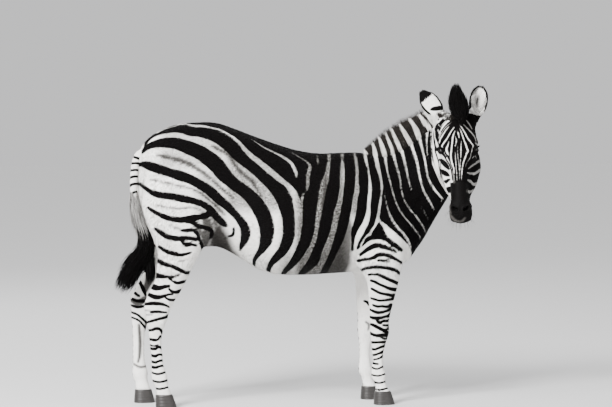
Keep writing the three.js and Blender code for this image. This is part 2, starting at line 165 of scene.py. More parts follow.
# centre and radii of the round masses of the head: left, out, down
HEAD_PAIRS = [
    [[64, -52, 150], [42, 40, 42]],  # brow over the eye
    [[30, -44, 492], [31, 32, 40]],  # nostril
    [[62, -66, 26], [42, 46, 46]],  # base of the ear
]
HEAD_MIDDLE = [
    [[0, -98, 520], [38, 30, 32]],  # chin
    [[0, -92, 14], [60, 62, 44]],  # poll
]

# %% Sections of the legs
# height, rear, front, sideways place, half width, share of the length at the widest line
FORELEG = [
    [930, 350, 470, 96, 34, 0.5],
    [850, 308, 498, 114, 56, 0.5],
    [765, 284, 510, 127, 66, 0.5],
    [705, 268, 500, 134, 66, 0.5],
    [660, 290, 488, 134, 62, 0.55],
    [612, 314, 480, 133, 57, 0.55],
    [510, 325, 454, 129, 45, 0.55],
    [424, 330, 434, 126, 39, 0.52],
    [388, 331, 433, 125, 42, 0.5],
    [348, 332, 430, 124, 42, 0.5],
    [312, 337, 420, 124, 35, 0.5],
    [268, 341, 409, 123, 27, 0.5],
    [216, 343, 405, 123, 25, 0.5],
    [172, 339, 410, 122, 31, 0.5],
    [142, 338, 416, 122, 34, 0.5],
    [108, 354, 418, 122, 29, 0.5],
    [82, 360, 428, 122, 33, 0.5],
    [60, 358, 442, 122, 41, 0.45],
    [30, 356, 452, 122, 43, 0.42],
    [0, 354, 461, 122, 46, 0.42],
]
HINDLEG = [
    [1240, -730, -560, 84, 44, 0.5],
    [1170, -780, -500, 102, 74, 0.5],
    [1085, -800, -470, 118, 92, 0.52],
    [1000, -806, -428, 128, 104, 0.55],
    [930, -788, -424, 134, 106, 0.56],
    [868, -764, -446, 138, 100, 0.56],
    [815, -743, -484, 138, 88, 0.57],
    [765, -730, -516, 136, 76, 0.58],
    [665, -733, -567, 132, 58, 0.62],
    [615, -753, -590, 130, 50, 0.64],
    [575, -775, -612, 129, 44, 0.62],
    [505, -795, -654, 127, 42, 0.56],
    [465, -790, -669, 127, 41, 0.55],
    [425, -785, -680, 127, 37, 0.55],
    [388, -778, -696, 127, 31, 0.52],
    [335, -772, -704, 127, 27, 0.5],
    [262, -765, -700, 127, 26, 0.5],
    [212, -763, -694, 127, 28, 0.5],
    [172, -762, -682, 127, 33, 0.5],
    [142, -760, -676, 127, 34, 0.5],
    [110, -746, -672, 127, 29, 0.5],
    [84, -738, -662, 127, 32, 0.5],
    [60, -738, -652, 127, 37, 0.45],
    [30, -738, -641, 127, 40, 0.42],
    [0, -738, -632, 127, 43, 0.42],
]
# The left legs stand behind the right ones: at the floor, at the knee or hock, and at the top.
BACK_LEVELS = [0, 500, 900]
LEFT_FORE_BACK = [28, 22, 10]
LEFT_HIND_BACK = [86, 50, 20]
CORONET = 64  # where horn meets skin, above the floor
LEG_TOP = 640  # below this height skin and coat are the finer ones of the legs
# The neck bends to the right as it goes forward: x, and how far left its middle lies there.
NECK_BEND = [428, 536, 636, 714], [0, -50, -128, -232]


def left_leg_back(x, z):
    """How far the left legs stand behind the right ones at a height."""
    fore, hind = (np.interp(z, BACK_LEVELS, backs) for backs in (LEFT_FORE_BACK, LEFT_HIND_BACK))
    return np.where(x > 0, fore, hind)


# %% [markdown]
# ## From a table to a closed form
# A loft could be drawn ring by ring, but a tube is quicker: a cone with equal ends is cut into
# rings by subdividing its long edges, and then every ring is carried on to its section. The
# curve between stations is a Catmull-Rom spline, which passes through each measured row.

# %% Splines, sections and lofts


def along(table, share):
    """The rows of a table at shares 0 to 1 of its length, on a smooth curve through every row."""
    table = np.asarray(table, float)
    table = np.vstack([2 * table[0] - table[1], table, 2 * table[-1] - table[-2]])
    place = np.clip(np.asarray(share, float), 0, 1) * (len(table) - 3)
    row = np.minimum(place.astype(int), len(table) - 4)
    t = (place - row)[..., None]
    a, b, c, d = (table[row + k] for k in range(4))
    return b + 0.5 * t * (c - a + t * (2 * a - 5 * b + 4 * c - d + t * (3 * (b - c) + d - a)))


def upright_edges(bm):
    """The edges of a cone or tube that run along it."""
    return [e for e in bm.edges if abs(e.verts[0].co.z - e.verts[1].co.z) > 0.5]


def tube(segments, rings):
    """A bmesh tube with its rings square to Z, and each vertex's angle and share of the length."""
    bm = bmesh.new()
    bmesh.ops.create_cone(bm, cap_ends=True, segments=segments, radius1=1, radius2=1, depth=1)
    bmesh.ops.subdivide_edges(bm, edges=upright_edges(bm), cuts=rings - 1)
    places = np.array([v.co for v in bm.verts])
    return bm, np.arctan2(places[:, 1], places[:, 0]), places[:, 2] + 0.5


def set_places(bm, places):
    """Moves the vertices of a bmesh to new places."""
    for vertex, place in zip(bm.verts, places):
        vertex.co = place


def loft(table, section, segments=48, rings=None, grow=0.0):
    """A closed loft. section(share) gives centre, up, side, top, bottom, half and power arrays."""
    bm, angle, share = tube(segments, rings or 4 * (len(table) - 1))
    centre, up, side, top, bottom, half, power = section(share)
    across, rise = (
        np.sign(value) * np.abs(value) ** (2 / power) for value in (np.cos(angle), np.sin(angle))
    )
    height = rise * (np.where(rise > 0, top, bottom) + grow)
    plan = centre + side * (across * (half + grow))[:, None] + up * height[:, None]
    set_places(bm, to_metres(plan))
    bmesh.ops.recalc_face_normals(bm, faces=bm.faces)
    return bm


def unit(vectors):
    """Vectors, each made one long."""
    return vectors / np.maximum(np.linalg.norm(vectors, axis=-1, keepdims=True), 1e-9)


# %% Sections of each part of the body
X, Y, Z = np.eye(3)


def trunk_section(share):
    x, top, bottom, half, wide, power = along(TRUNK, share).T
    centre = np.stack([x, 0 * x, wide], 1)
    return centre, Z, Y, top - wide, wide - bottom, half, power


def neck_section(share):
    def middle(s):
        crest_x, crest_z, throat_x, throat_z, y, _, wide = along(NECK, s).T
        x = throat_x + (crest_x - throat_x) * wide
        return np.stack([x, y, throat_z + (crest_z - throat_z) * wide], 1)

    crest_x, crest_z, throat_x, throat_z, _, half, wide = along(NECK, share).T
    up = np.stack([crest_x - throat_x, 0 * share, crest_z - throat_z], 1)
    depth, up = np.linalg.norm(up, axis=1), unit(up)
    ahead = middle(np.minimum(1, share + 0.02)) - middle(np.maximum(0, share - 0.02))
    side = unit(np.cross(up, ahead))
    return middle(share), up, side, depth * (1 - wide), depth * wide, half, 2.0


def leg_section(table, side, backs):
    def section(share):
        z, rear, front, y, half, wide = along(table, share).T
        x = rear + (front - rear) * wide
        centre = np.stack([x - np.interp(z, BACK_LEVELS, backs), side * y, z], 1)
        power = np.where(z < CORONET, 2.3, 2.0)
        return centre, X, Y, front - x, x - rear, half, power

    return section


# %% [markdown]
# ## The head's own frame
# The head is turned to its right, until it faces the viewer, and nods. It is far easier to shape
# it square in a frame of its own: left is the animal's left, out is the way the face looks, and
# down runs from the poll to the nose.

# %% Head frame
POLL = Vector((748, -252, 1461))
HEAD_YAW, HEAD_PITCH, HEAD_ROLL = math.radians(-11), math.radians(22), math.radians(-2.3)
HEAD = (
    Matrix.Translation(POLL)
    @ Matrix.Rotation(HEAD_YAW, 4, "Z")
    @ Matrix.Rotation(-HEAD_PITCH, 4, "X")
    @ Matrix.Rotation(HEAD_ROLL, 4, "Y")
    @ Matrix.Diagonal((1, -1, -1, 1))
)
HEAD_TURN = np.array(HEAD.to_3x3())


def on_head(face):
    """Points given as left, out and down, as points of the plan."""
    return np.asarray(face, float) @ HEAD_TURN.T + np.array(POLL)


def to_head(plan):
    """Points of the plan as left, out and down."""
    return (np.asarray(plan, float) - np.array(POLL)) @ HEAD_TURN


def left_half(face):
    """Points of the head, with its right side folded over on to the left."""
    return np.stack([np.abs(face[:, 0]), face[:, 1], face[:, 2]], 1)


def head_section(table):
    def section(share):
        down, front, back, half, wide, power = along(table, share).T
        centre = on_head(np.stack([0 * down, wide, down], 1))
        out, left = HEAD_TURN[:, 1], HEAD_TURN[:, 0]
        return centre, out, left, front - wide, wide - back, half, power

    return section


def ball(centre, radii, frame_matrix=Matrix(), turn=0.0, grow=0.0):
    """A bmesh ellipsoid in the plan, or in the head's frame."""
    bm = bmesh.new()
    bmesh.ops.create_uvsphere(bm, u_segments=32, v_segments=20, radius=1)
    stretch = Matrix.Diagonal([r + grow for r in radii] + [1])
    spin = Matrix.Rotation(math.radians(turn), 4, "Y")
    shape = frame_matrix @ Matrix.Translation(centre) @ spin @ stretch
    bmesh.ops.transform(bm, matrix=shape, verts=bm.verts)
    set_places(bm, to_metres([v.co for v in bm.verts]))
    bmesh.ops.recalc_face_normals(bm, faces=bm.faces)
    return bm


def object_from(name, bm, material=None):
    """An object at the origin that holds a bmesh."""
    mesh = bpy.data.meshes.new(name)
    bm.to_mesh(mesh)
    bm.free()
    made = bpy.data.objects.new(name, mesh)
    bpy.context.scene.collection.objects.link(made)
    if material:
        mesh.materials.append(material)
    return made


def shade_smooth(made):
    """Shades an object's faces as one rounded surface."""
    faces = made.data.polygons
    faces.foreach_set("use_smooth", [True] * len(faces))


def joined(name, forms):
    """One object from several bmeshes."""
    whole = bmesh.new()
    for form in forms:
        mesh = bpy.data.meshes.new("form")
        form.to_mesh(mesh)
        form.free()
        whole.from_mesh(mesh)
        bpy.data.meshes.remove(mesh)
    return object_from(name, whole)


# %% [markdown]
# ## One skin
# The lofts overlap like the cores that a taxidermist carves. A voxel remesh fills their union
# with even squares and drops everything inside, so that one skin runs from muzzle to heel with
# no seam. It lies a coat's depth inside the carved form. Legs and head are then divided once
# more, because their folds and stripes are finer than the trunk's.

# %% Skin
COAT_DEPTH = {"trunk": 5, "neck": 4, "head": 3, "leg": 2.5}  # millimetres
VOXEL = 0.0122  # metres


def leg_rows(table):
    """The rows of a leg table above the hoof."""
    return [row for row in table if row[0] > 40]


core = joined(
    "skin_core",
    [
        loft(TRUNK, trunk_section, 64, grow=-COAT_DEPTH["trunk"]),
        loft(NECK, neck_section, 48, grow=-COAT_DEPTH["neck"]),
        loft(SKULL, head_section(SKULL), 48, grow=-COAT_DEPTH["head"]),
        loft(JAW, head_section(JAW), 48, grow=-COAT_DEPTH["head"]),
    ]
    + [
        loft(leg_rows(table), leg_section(leg_rows(table), side, backs), 32,
             grow=-COAT_DEPTH["leg"])
        for table, left_backs in ((FORELEG, LEFT_FORE_BACK), (HINDLEG, LEFT_HIND_BACK))
        for side, backs in ((-1, [0, 0, 0]), (1, left_backs))
    ]
    + [
        ball((418, side * 106, 850), (142, 84, 100), turn=-28, grow=-COAT_DEPTH["trunk"])
        for side in (-1, 1)
    ]
    + [
        ball((side * left, out, down), radii, HEAD, grow=-COAT_DEPTH["head"])
        for (left, out, down), radii in HEAD_PAIRS
        for side in (-1, 1)
    ]
    + [ball(centre, radii, HEAD, grow=-COAT_DEPTH["head"]) for centre, radii in HEAD_MIDDLE],
)


def with_modifiers(made):
    """Applies an object's modifiers to its mesh."""
    graph = bpy.context.evaluated_depsgraph_get()
    mesh = bpy.data.meshes.new_from_object(made.evaluated_get(graph), depsgraph=graph)
    old = made.data
    made.modifiers.clear()
    made.data = mesh
    bpy.data.meshes.remove(old)
    return made


remesh = core.modifiers.new("remesh", "REMESH")
remesh.mode, remesh.voxel_size = "VOXEL", VOXEL
with_modifiers(core)
print("skin core:", len(core.data.polygons), "faces")


def mesh_places(mesh):
    """The vertices of a mesh as an array."""
    places = np.empty(len(mesh.vertices) * 3, np.float32)
    mesh.vertices.foreach_get("co", places)
    return places.reshape(-1, 3).astype(float)


def mesh_normals(mesh):
    """The vertex normals of a mesh as an array."""
    normals = np.empty(len(mesh.vertices) * 3, np.float32)
    mesh.vertex_normals.foreach_get("vector", normals)
    return normals.reshape(-1, 3).astype(float)


def smooth_step(low, high, value):
    """0 below low, 1 above high, and a smooth rise between them. low may be above high."""
    t = np.clip((np.asarray(value, float) - low) / (high - low), 0, 1)
    return t * t * (3 - 2 * t)


def head_share(plan):
    """1 on the head, 0 elsewhere."""
    left, out, down = to_head(plan).T
    inside = smooth_step(-285, -265, out) * smooth_step(140, 125, np.abs(left))
    behind = np.interp(down, [-60, 60, 130, 260], [-120, -190, -262, -290])
    return inside * smooth_step(-60, -40, down) * (out > behind) * (plan[:, 2] > 700)


# %% Finer head and legs


def divide(bm, chosen):
    """Subdivides the faces whose vertices are all chosen (a boolean per vertex)."""
    bm.verts.index_update()
    edges = {e for f in bm.faces if all(chosen[v.index] for v in f.verts) for e in f.edges}
    bmesh.ops.subdivide_edges(bm, edges=list(edges), cuts=1, use_grid_fill=True)


def relax(bm, times):
    """Evens out a mesh, by drawing each vertex half way to the middle of its neighbours."""
    for _ in range(times):
        bmesh.ops.smooth_vert(
            bm, verts=bm.verts, factor=0.5, use_axis_x=True, use_axis_y=True, use_axis_z=True
        )


skin_form = bmesh.new()
skin_form.from_mesh(core.data)
bpy.data.objects.remove(core)
relax(skin_form, 1)
plan = to_plan([v.co for v in skin_form.verts])
divide(skin_form, (head_share(plan) > 0.5) | (plan[:, 2] < LEG_TOP))
relax(skin_form, 3)
print("skin after dividing:", len(skin_form.faces), "faces")

# %% [markdown]
# ## Muscle, bone and folds
# A loft knows nothing of what lies under a skin. A sculptor would now add clay over a muscle and
# press in a hollow beside a bone, and two helpers do the same with numbers: one raises or sinks an
# oval spot, the other runs a ridge or a furrow along a line. Both move each vertex along its own
# normal, so that a shape swells instead of shearing.

# %% Clay and furrows


def to_line(points, line):
    """Distance from each point to a broken line, and the share of the line's length there."""
    line = np.asarray(line, float)
    steps = np.linalg.norm(np.diff(line, axis=0), axis=1)
    starts = np.concatenate([[0], np.cumsum(steps)])
    best, share = np.full(len(points), 1e9), np.zeros(len(points))
    for a, b, start, step in zip(line[:-1], line[1:], starts, steps):
        t = np.clip((points - a) @ (b - a) / max(step * step, 1e-9), 0, 1)
        away = np.linalg.norm(points - a - t[:, None] * (b - a), axis=1)
        nearer = away < best
        best[nearer] = away[nearer]
        share[nearer] = (start + t[nearer] * step) / starts[-1]
    return best, share


def spot(points, centre, radii):
    """1 at the middle of an oval spot, falling smoothly to 0 at its edge."""
    away = np.linalg.norm((points - np.array(centre, float)) / np.array(radii, float), axis=1)
    return (1 - np.clip(away, 0, 1) ** 2) ** 2


def ridge(points, line, width):
    """1 along a line, falling smoothly to 0 at its width, and fading at its two ends."""
    away, share = to_line(points, line)
    return np.exp(-((away / width) ** 2)) * smooth_step(-0.05, 0.15, share) * smooth_step(
        1.05, 0.85, share
    )


# height of clay, centre and radii, with the middle coordinate given for the left side
BODY_SPOTS = [
    [8, (330, 185, 860), (95, 90, 95)],  # triceps
    [7, (470, 150, 850), (70, 90, 80)],  # point of the shoulder
    [10, (548, 62, 800), (60, 60, 75)],  # breast
    [7, (288, 150, 742), (36, 50, 36)],  # elbow
    [-10, (-290, 235, 1100), (105, 90, 120)],  # hollow of the flank
    [10, (-392, 200, 1295), (62, 80, 50)],  # point of the hip
    [8, (-448, 200, 845), (58, 70, 75)],  # stifle
    [5, (-640, 215, 1090), (130, 100, 170)],  # rump muscle
    [-5, (-560, 210, 900), (60, 80, 80)],  # in front of the thigh
    [4, (-786, 127, 520), (26, 40, 34)],  # point of the hock
    [3, (-690, 155, 470), (30, 20, 45)],  # side of the hock
    [3, (425, 128, 366), (30, 40, 44)],  # front of the knee
    [3, (345, 128, 356), (18, 30, 26)],  # bone behind the knee
    [3, (404, 128, 150), (24, 40, 26)],  # fore fetlock
    [3, (-690, 128, 150), (26, 40, 26)],  # hind fetlock
    [6, (-700, 128, 690), (90, 60, 80)],  # gaskin
    [-4, (-735, 150, 600), (30, 30, 60)],  # in front of the hamstring
]
BODY_RIDGES = [
    [4, [(330, 170, 1200), (385, 200, 1060), (440, 185, 930)], 30],  # spine of the blade
    [-7, [(235, 230, 1130), (235, 260, 980), (262, 240, 820), (300, 200, 740)], 34],
    [-5, [(470, 150, 1120), (520, 140, 980), (520, 120, 880)], 30],  # front of the shoulder
    [-6, [(-705, 200, 1230), (-735, 190, 1060), (-735, 180, 900), (-700, 170, 800)], 22],
    [-5, [(-330, 240, 880), (-385, 225, 830), (-440, 190, 790)], 20],  # fold of the flank
    [-2.5, [(364, 150, 300), (366, 148, 190)], 7],  # between cannon and tendon
    [-2.5, [(-738, 152, 380), (-738, 152, 190)], 7],
    [-3, [(-700, 160, 560), (-722, 160, 500), (-724, 158, 430)], 12],  # below the hock joint
    [3, [(-220, 262, 800), (-330, 240, 770), (-420, 190, 790)], 16],  # rope of the flank
]
NECK_RIDGES = [
    [-7, [(520, -95, 940), (600, -130, 1030), (680, -190, 1130), (716, -225, 1190)], 18],
    [4, [(470, -120, 1010), (560, -150, 1110), (640, -190, 1210)], 30],
]


def clay_on_body(plan):
    """How far each point of the body rises, in millimetres."""
    rise = np.zeros(len(plan))
    x, y, z = plan.T
    mirrored = np.stack([x + left_leg_back(x, z) * (y > 0), np.abs(y), z], 1)
    for height, centre, radii in BODY_SPOTS:
        rise += height * spot(mirrored, centre, radii)
    for height, line, width in BODY_RIDGES:
        rise += height * ridge(mirrored, line, width)
    for height, line, width in NECK_RIDGES:
        rise += height * ridge(plan, line, width)
    ribs = smooth_step(-230, -120, x) * smooth_step(230, 120, x)
    ribs *= (
        smooth_step(690, 780, z) * smooth_step(1130, 1000, z) * smooth_step(150, 220, np.abs(y))
    )
    rise += 0.7 * ribs * np.sin((x - 0.22 * (z - 900)) / 52 * 2 * math.pi)
    middle = np.exp(-((y / 14) ** 2))
    rise -= 6 * middle * smooth_step(520, 560, x) * smooth_step(900, 820, z)  # between the breasts
    rise += 5 * np.exp(-((y / 16) ** 2)) * smooth_step(1180, 1230, z) * smooth_step(200, 0, x)
    rise -= 5 * middle * smooth_step(-420, -520, x) * smooth_step(1330, 1390, z)
    return rise


# The same for the head: left, out, down.
HEAD_SPOTS = [
    [-5, (52, -14, 128), (20, 24, 22)],  # hollow over the eye
    [5, (84, -40, 158), (22, 26, 16)],  # bone over the eye
    [-6, (64, -52, 330), (22, 34, 70)],  # hollow of the cheek
    [5, (104, -140, 215), (34, 78, 85)],  # cheek muscle
    [-4, (40, -14, 330), (12, 16, 90)],  # beside the nose bone
    [6, (42, -30, 480), (20, 26, 34)],  # wing of the nostril
    [5, (34, -60, 535), (26, 26, 20)],  # upper lip
    [5, (0, -34, 528), (34, 26, 24)],
    [4, (0, -100, 530), (34, 26, 20)],  # chin
    [-4, (0, 10, 100), (30, 30, 60)],  # forehead, between the temple muscles
    [3, (36, 0, 70), (26, 30, 50)],  # temple muscle
]
HEAD_RIDGES = [
    [5, [(97, -66, 214), (84, -50, 262), (66, -40, 322), (54, -36, 352)], 8],  # cheek bone
    [2.5, [(24, 4, 220), (22, 2, 330), (19, 1, 410)], 8],  # nose bone
    [-3, [(70, -60, 440), (56, -40, 452), (44, -20, 440)], 8],  # behind the nostril
    [-2, [(98, -60, 212), (92, -46, 222), (78, -30, 222)], 5],  # under the lower lid
    [-2, [(60, -16, 164), (76, -22, 158), (92, -42, 156)], 4],  # over the upper lid
]
MOUTH = [
    (0, -52, 553), (22, -62, 550), (38, -76, 538), (44, -88, 512), (45, -94, 480), (45, -96, 462)
]


def clay_on_head(face):
    """How far each point of the head rises, in millimetres."""
    mirrored = left_half(face)
    rise = np.zeros(len(face))
    for height, centre, radii in HEAD_SPOTS:
        rise += height * spot(mirrored, centre, radii)
    for height, line, width in HEAD_RIDGES:
        rise += height * ridge(mirrored, line, width)
    away, share = to_line(mirrored, MOUTH)
    lips = smooth_step(1.04, 0.9, share)
    rise += lips * (3 * np.exp(-(((away - 11) / 7) ** 2)) - 7 * np.exp(-((away / 4) ** 2)))
    return rise


# %% [markdown]
# ## Eyes, lids and nostrils
# A lid is skin stretched over the eyeball. Around each eye the skin is drawn on to a ball a little
# larger than the eye, and inside an almond-shaped line it is sunk below the eye's surface, which
# leaves a true edge of a lid with the glass eye behind it. A nostril is a comma pressed into the
# muzzle, with a raised rim.

# %% Lids and nostrils
EYE_RADIUS = 20
EYE_PLACE = np.array([79.0, -48.0, 186.0])
GAZE = unit(np.array([0.80, 0.60, -0.02]))
TO_NOSE = unit(np.array([-0.52, 0.66, 0.42]) - GAZE * (np.array([-0.52, 0.66, 0.42]) @ GAZE))
EYE_UP = np.cross(TO_NOSE, GAZE)
EYE_UP = EYE_UP * (-1 if EYE_UP[2] > 0 else 1)  # towards the poll, where down is smaller
LID_OVER, LID_UNDER, LID_ASIDE = 9.5, 7.5, 17.5  # the opening's reach up, down and sideways


def eye_places(face):
    """A face point as seen from the eye on its side: towards the nose, up, along the gaze."""
    reach = left_half(face) - EYE_PLACE
    return np.stack([reach @ TO_NOSE, reach @ EYE_UP, reach @ GAZE], 1)


def shape_lids(face):
    """Draws the skin over the eyeballs and opens the lids."""
    nose, up, gaze = eye_places(face).T
    away = np.sqrt(nose**2 + up**2 + gaze**2)
    direction = unit(np.stack([nose, up, gaze], 1))
    across, height = direction[:, 0] * EYE_RADIUS, direction[:, 1] * EYE_RADIUS
    opening = np.abs(height) / np.where(height > 0, LID_OVER, LID_UNDER)
    opening = opening + (across / LID_ASIDE) ** 2
    opening = np.where(gaze > 0, opening, 9)
    lid = EYE_RADIUS + 3.2 - 1.2 * np.exp(-(((opening - 1.75) / 0.3) ** 2))
    inside = EYE_RADIUS - 4
    target = np.where(opening < 1, inside, lid)
    weight = np.where(opening < 1, 1, smooth_step(4.2, 1.6, opening)) * (gaze > -4)
    weight *= smooth_step(46, 34, away)
    shift = (target - away) * weight
    moved = direction * shift[:, None]
    move = moved[:, :1] * TO_NOSE + moved[:, 1:2] * EYE_UP + moved[:, 2:3] * GAZE
    move[:, 0] *= np.where(face[:, 0] < 0, -1, 1)
    return face + move


NOSTRIL = [(22, -14, 506), (34, -18, 500), (42, -30, 484), (41, -44, 470)]
NOSTRIL_INWARD = unit(np.array([-0.55, -0.80, -0.15]))


def shape_nostrils(face, normals):
    """Presses a comma into each side of the muzzle, and raises its rim."""
    away, share = to_line(left_half(face), NOSTRIL)
    width = np.interp(share, [0, 0.35, 1], [9, 9, 4.5])
    hole = smooth_step(1.25, 0.45, away / width)
    rim = np.exp(-(((away / width - 1.5) / 0.45) ** 2))
    inward = np.tile(NOSTRIL_INWARD, (len(face), 1))
    inward[:, 0] *= np.where(face[:, 0] < 0, -1, 1)
    return face + inward * (20 * hole)[:, None] + normals * (3 * rim * (hole < 0.4))[:, None]


# %% Sculpt the skin
def on_face_front(plan):
    """True on the front and sides of the face, whose stripes are the finest."""
    _, out, down = to_head(plan).T
    return (out > -135) & (down > -20) & (down < 440) & (head_share(plan) > 0.5)


def near_details(plan):
    """True near the eyes, nostrils and lips, where the skin is divided once more."""
    mirrored = left_half(to_head(plan))
    eyes = np.linalg.norm(mirrored - EYE_PLACE, axis=1) < 42
    nostrils = to_line(mirrored, NOSTRIL)[0] < 24
    lips = to_line(mirrored, MOUTH)[0] < 15
    return (eyes | nostrils | lips) & (head_share(plan) > 0.5)


for finer in (on_face_front, near_details):
    divide(skin_form, finer(to_plan([v.co for v in skin_form.verts])))
bmesh.ops.recalc_face_normals(skin_form, faces=skin_form.faces)
skin_form.normal_update()
plan = to_plan([v.co for v in skin_form.verts])
normals = np.array([v.normal for v in skin_form.verts])
on_the_head = head_share(plan)
rise = clay_on_body(plan) * (1 - on_the_head)
rise += clay_on_head(to_head(plan)) * on_the_head
plan += normals * rise[:, None]
near_face = on_the_head > 0.5
face = to_head(plan[near_face])
face = shape_nostrils(face, normals[near_face] @ HEAD_TURN)
face = shape_lids(face)
plan[near_face] = on_head(face)
set_places(skin_form, to_metres(plan))
highest = round(float(np.abs(rise).max()), 1)
print("sculpted:", highest, "mm at most,", len(skin_form.faces), "faces")

# %% [markdown]
# ## Ears
# An ear is a leaf of gristle rolled into a cup: nearly a closed pipe at its root and open towards
# its tip. A flat grid is bent round the sections of the ear, and Solidify gives it its thickness.
# A Boolean union then grows it out of the head, so that the skin stays one piece.

# %% Ear leaves
EAR_LENGTH = 162
EAR_THICKNESS = 0.0045  # metres
# share of the length, half width, reach in front of and behind the middle, how far it wraps round
EAR = [
    [-0.1, 9, 9, 10, 172],
    [0.08, 18, 14, 17, 168],
    [0.25, 34, 16, 26, 140],
    [0.45, 41, 10, 24, 112],
    [0.65, 41, 6, 20, 98],
    [0.82, 35, 4, 15, 88],
    [0.93, 23, 3, 10, 80],
    [1.0, 9, 2, 5, 75],
]
TIP_WIDTH = {1: 1.0, -1: 0.72}  # the right ear is seen more from its edge, as it is turned


def ear_frame(root, tip, opening):
    """Root place and the side, opening and tip directions of an ear."""
    tip = unit(np.array(tip, float))
    side = unit(np.cross(np.array(opening, float), tip))
    return on_head(root), np.stack([side, np.cross(tip, side), tip])


EARS = {
    1: ear_frame((92, -62, 14), (0.2, 0.16, 1), (0.05, -1, 0.1)),
    -1: ear_frame((-76, -66, 0), (-0.62, 0.16, 0.8), (-0.1, 1, 0.2)),
}


def ear_rows(share):
    """The rows of the ear's table at shares of its length."""
    return along(EAR, np.interp(share, [row[0] for row in EAR], np.linspace(0, 1, len(EAR)))).T


def ear_leaf(side):
    """One ear: a grid bent round the sections, and made thick."""
    root, axes = EARS[side]
    bm = bmesh.new()
    bmesh.ops.create_grid(bm, x_segments=28, y_segments=34, size=0.5)
    places = np.array([v.co for v in bm.verts])
    share = places[:, 1] + 0.5
    length, half, front, back, wrap = along(EAR, share).T
    half = half * (1 + (TIP_WIDTH[side] - 1) * smooth_step(0.5, 0.85, share))
    angle = np.radians(wrap) * places[:, 0] * 2
    depth = np.where(np.cos(angle) > 0, -back, -front) * np.cos(angle)
    local = np.stack([half * np.sin(angle), depth, length * EAR_LENGTH], 1)
    set_places(bm, to_metres(local @ axes + root))
    bmesh.ops.recalc_face_normals(bm, faces=bm.faces)
    bmesh.ops.solidify(bm, geom=bm.faces[:], thickness=-EAR_THICKNESS)
    bmesh.ops.recalc_face_normals(bm, faces=bm.faces)
    return bm


skin = object_from("skin", skin_form)
leaves = joined("ear_leaves", [ear_leaf(1), ear_leaf(-1)])
union = skin.modifiers.new("ears", "BOOLEAN")
union.operation, union.object, union.solver = "UNION", leaves, "EXACT"
with_modifiers(skin)
bpy.data.objects.remove(leaves)
shade_smooth(skin)
print("skin with ears:", sum(len(p.vertices) - 2 for p in skin.data.polygons), "triangles")

# %% What the skin stands for
FLESH = [
    name
    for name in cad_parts
    if not name.startswith(("eye_", "mane", "forelock", "tail_")) and "hoof" not in name
]
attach(skin, "root")
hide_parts(*FLESH)

# %% [markdown]
# ## The markings
# A zebra's stripes are coloured hair, so skin and coat must agree about where each one runs. They
# are drawn once, as a sign painter would draw them: each stripe is a line of points with its width
# at each point, in millimetres on a sheet that stands beside the animal, across from the middle
# and up from the floor. Some whole areas are filled black first and the white lines drawn on them.
# The left side gets the same drawing mirrored. What is stored on the skin is not a colour but
# ink: how far inside a stripe a point lies, in millimetres, so that the edge stays sharp however
# coarse the mesh is.

# %% Black areas, as outlines
BACK_FIELD = [(-750, 1515), (-750, 1335), (-700, 1362), (-650, 1378), (-585, 1400),
    (-570, 1391), (-525, 1380), (-485, 1378), (-440, 1368), (-400, 1358), (-360, 1338),
    (-330, 1318), (-300, 1290), (-270, 1260), (-240, 1222), (-210, 1195), (-175, 1162),
    (-140, 1135), (-105, 1105), (-70, 1080), (-45, 1052), (-35, 1015), (15, 1015), (15, 1050),
    (35, 1065), (100, 1190), (100, 1245), (225, 1250), (360, 1255), (360, 1515)]
NECK_FIELD = [(370, 1340), (385, 1255), (400, 1190), (412, 1125), (418, 1075), (410, 1025),
    (402, 965), (400, 920), (430, 895), (470, 860), (510, 825), (545, 790), (560, 755),
    (555, 705), (625, 705), (875, 915), (875, 1565), (500, 1565)]
SHOULDER_FIELD = [(400, 910), (380, 880), (360, 850), (360, 825), (400, 830), (440, 825),
    (420, 860), (408, 895)]
# not a black area: the outline of the painted shade in the groin, under the flank
GROIN_SHADE = [(-430, 885), (-390, 905), (-380, 870), (-355, 835), (-345, 800), (-330, 765),
    (-310, 735), (-300, 720), (-390, 705), (-475, 705), (-485, 765), (-455, 785), (-450, 835)]
FACE_FIELD = [(760, 1455), (730, 1420), (700, 1402), (670, 1392), (665, 1355), (665, 1310),
    (668, 1275), (685, 1268), (708, 1260), (720, 1235), (740, 1210), (752, 1185), (762, 1160),
    (772, 1135), (775, 1100), (752, 1100), (752, 865), (890, 865), (900, 1015), (1000, 1115),
    (1000, 1465), (825, 1540)]
MUZZLE_FIELD = [(752, 1095), (775, 1110), (835, 1102), (840, 1065), (835, 1035), (850, 1020),
    (920, 1030), (920, 835), (700, 835), (730, 955), (752, 1015)]
NECK_BEHIND_FACE = [(665, 1425), (662, 1340), (662, 1285), (665, 1245), (670, 1205),
    (682, 1165), (700, 1130), (725, 1080), (742, 1035), (742, 940), (400, 940), (400, 1425)]

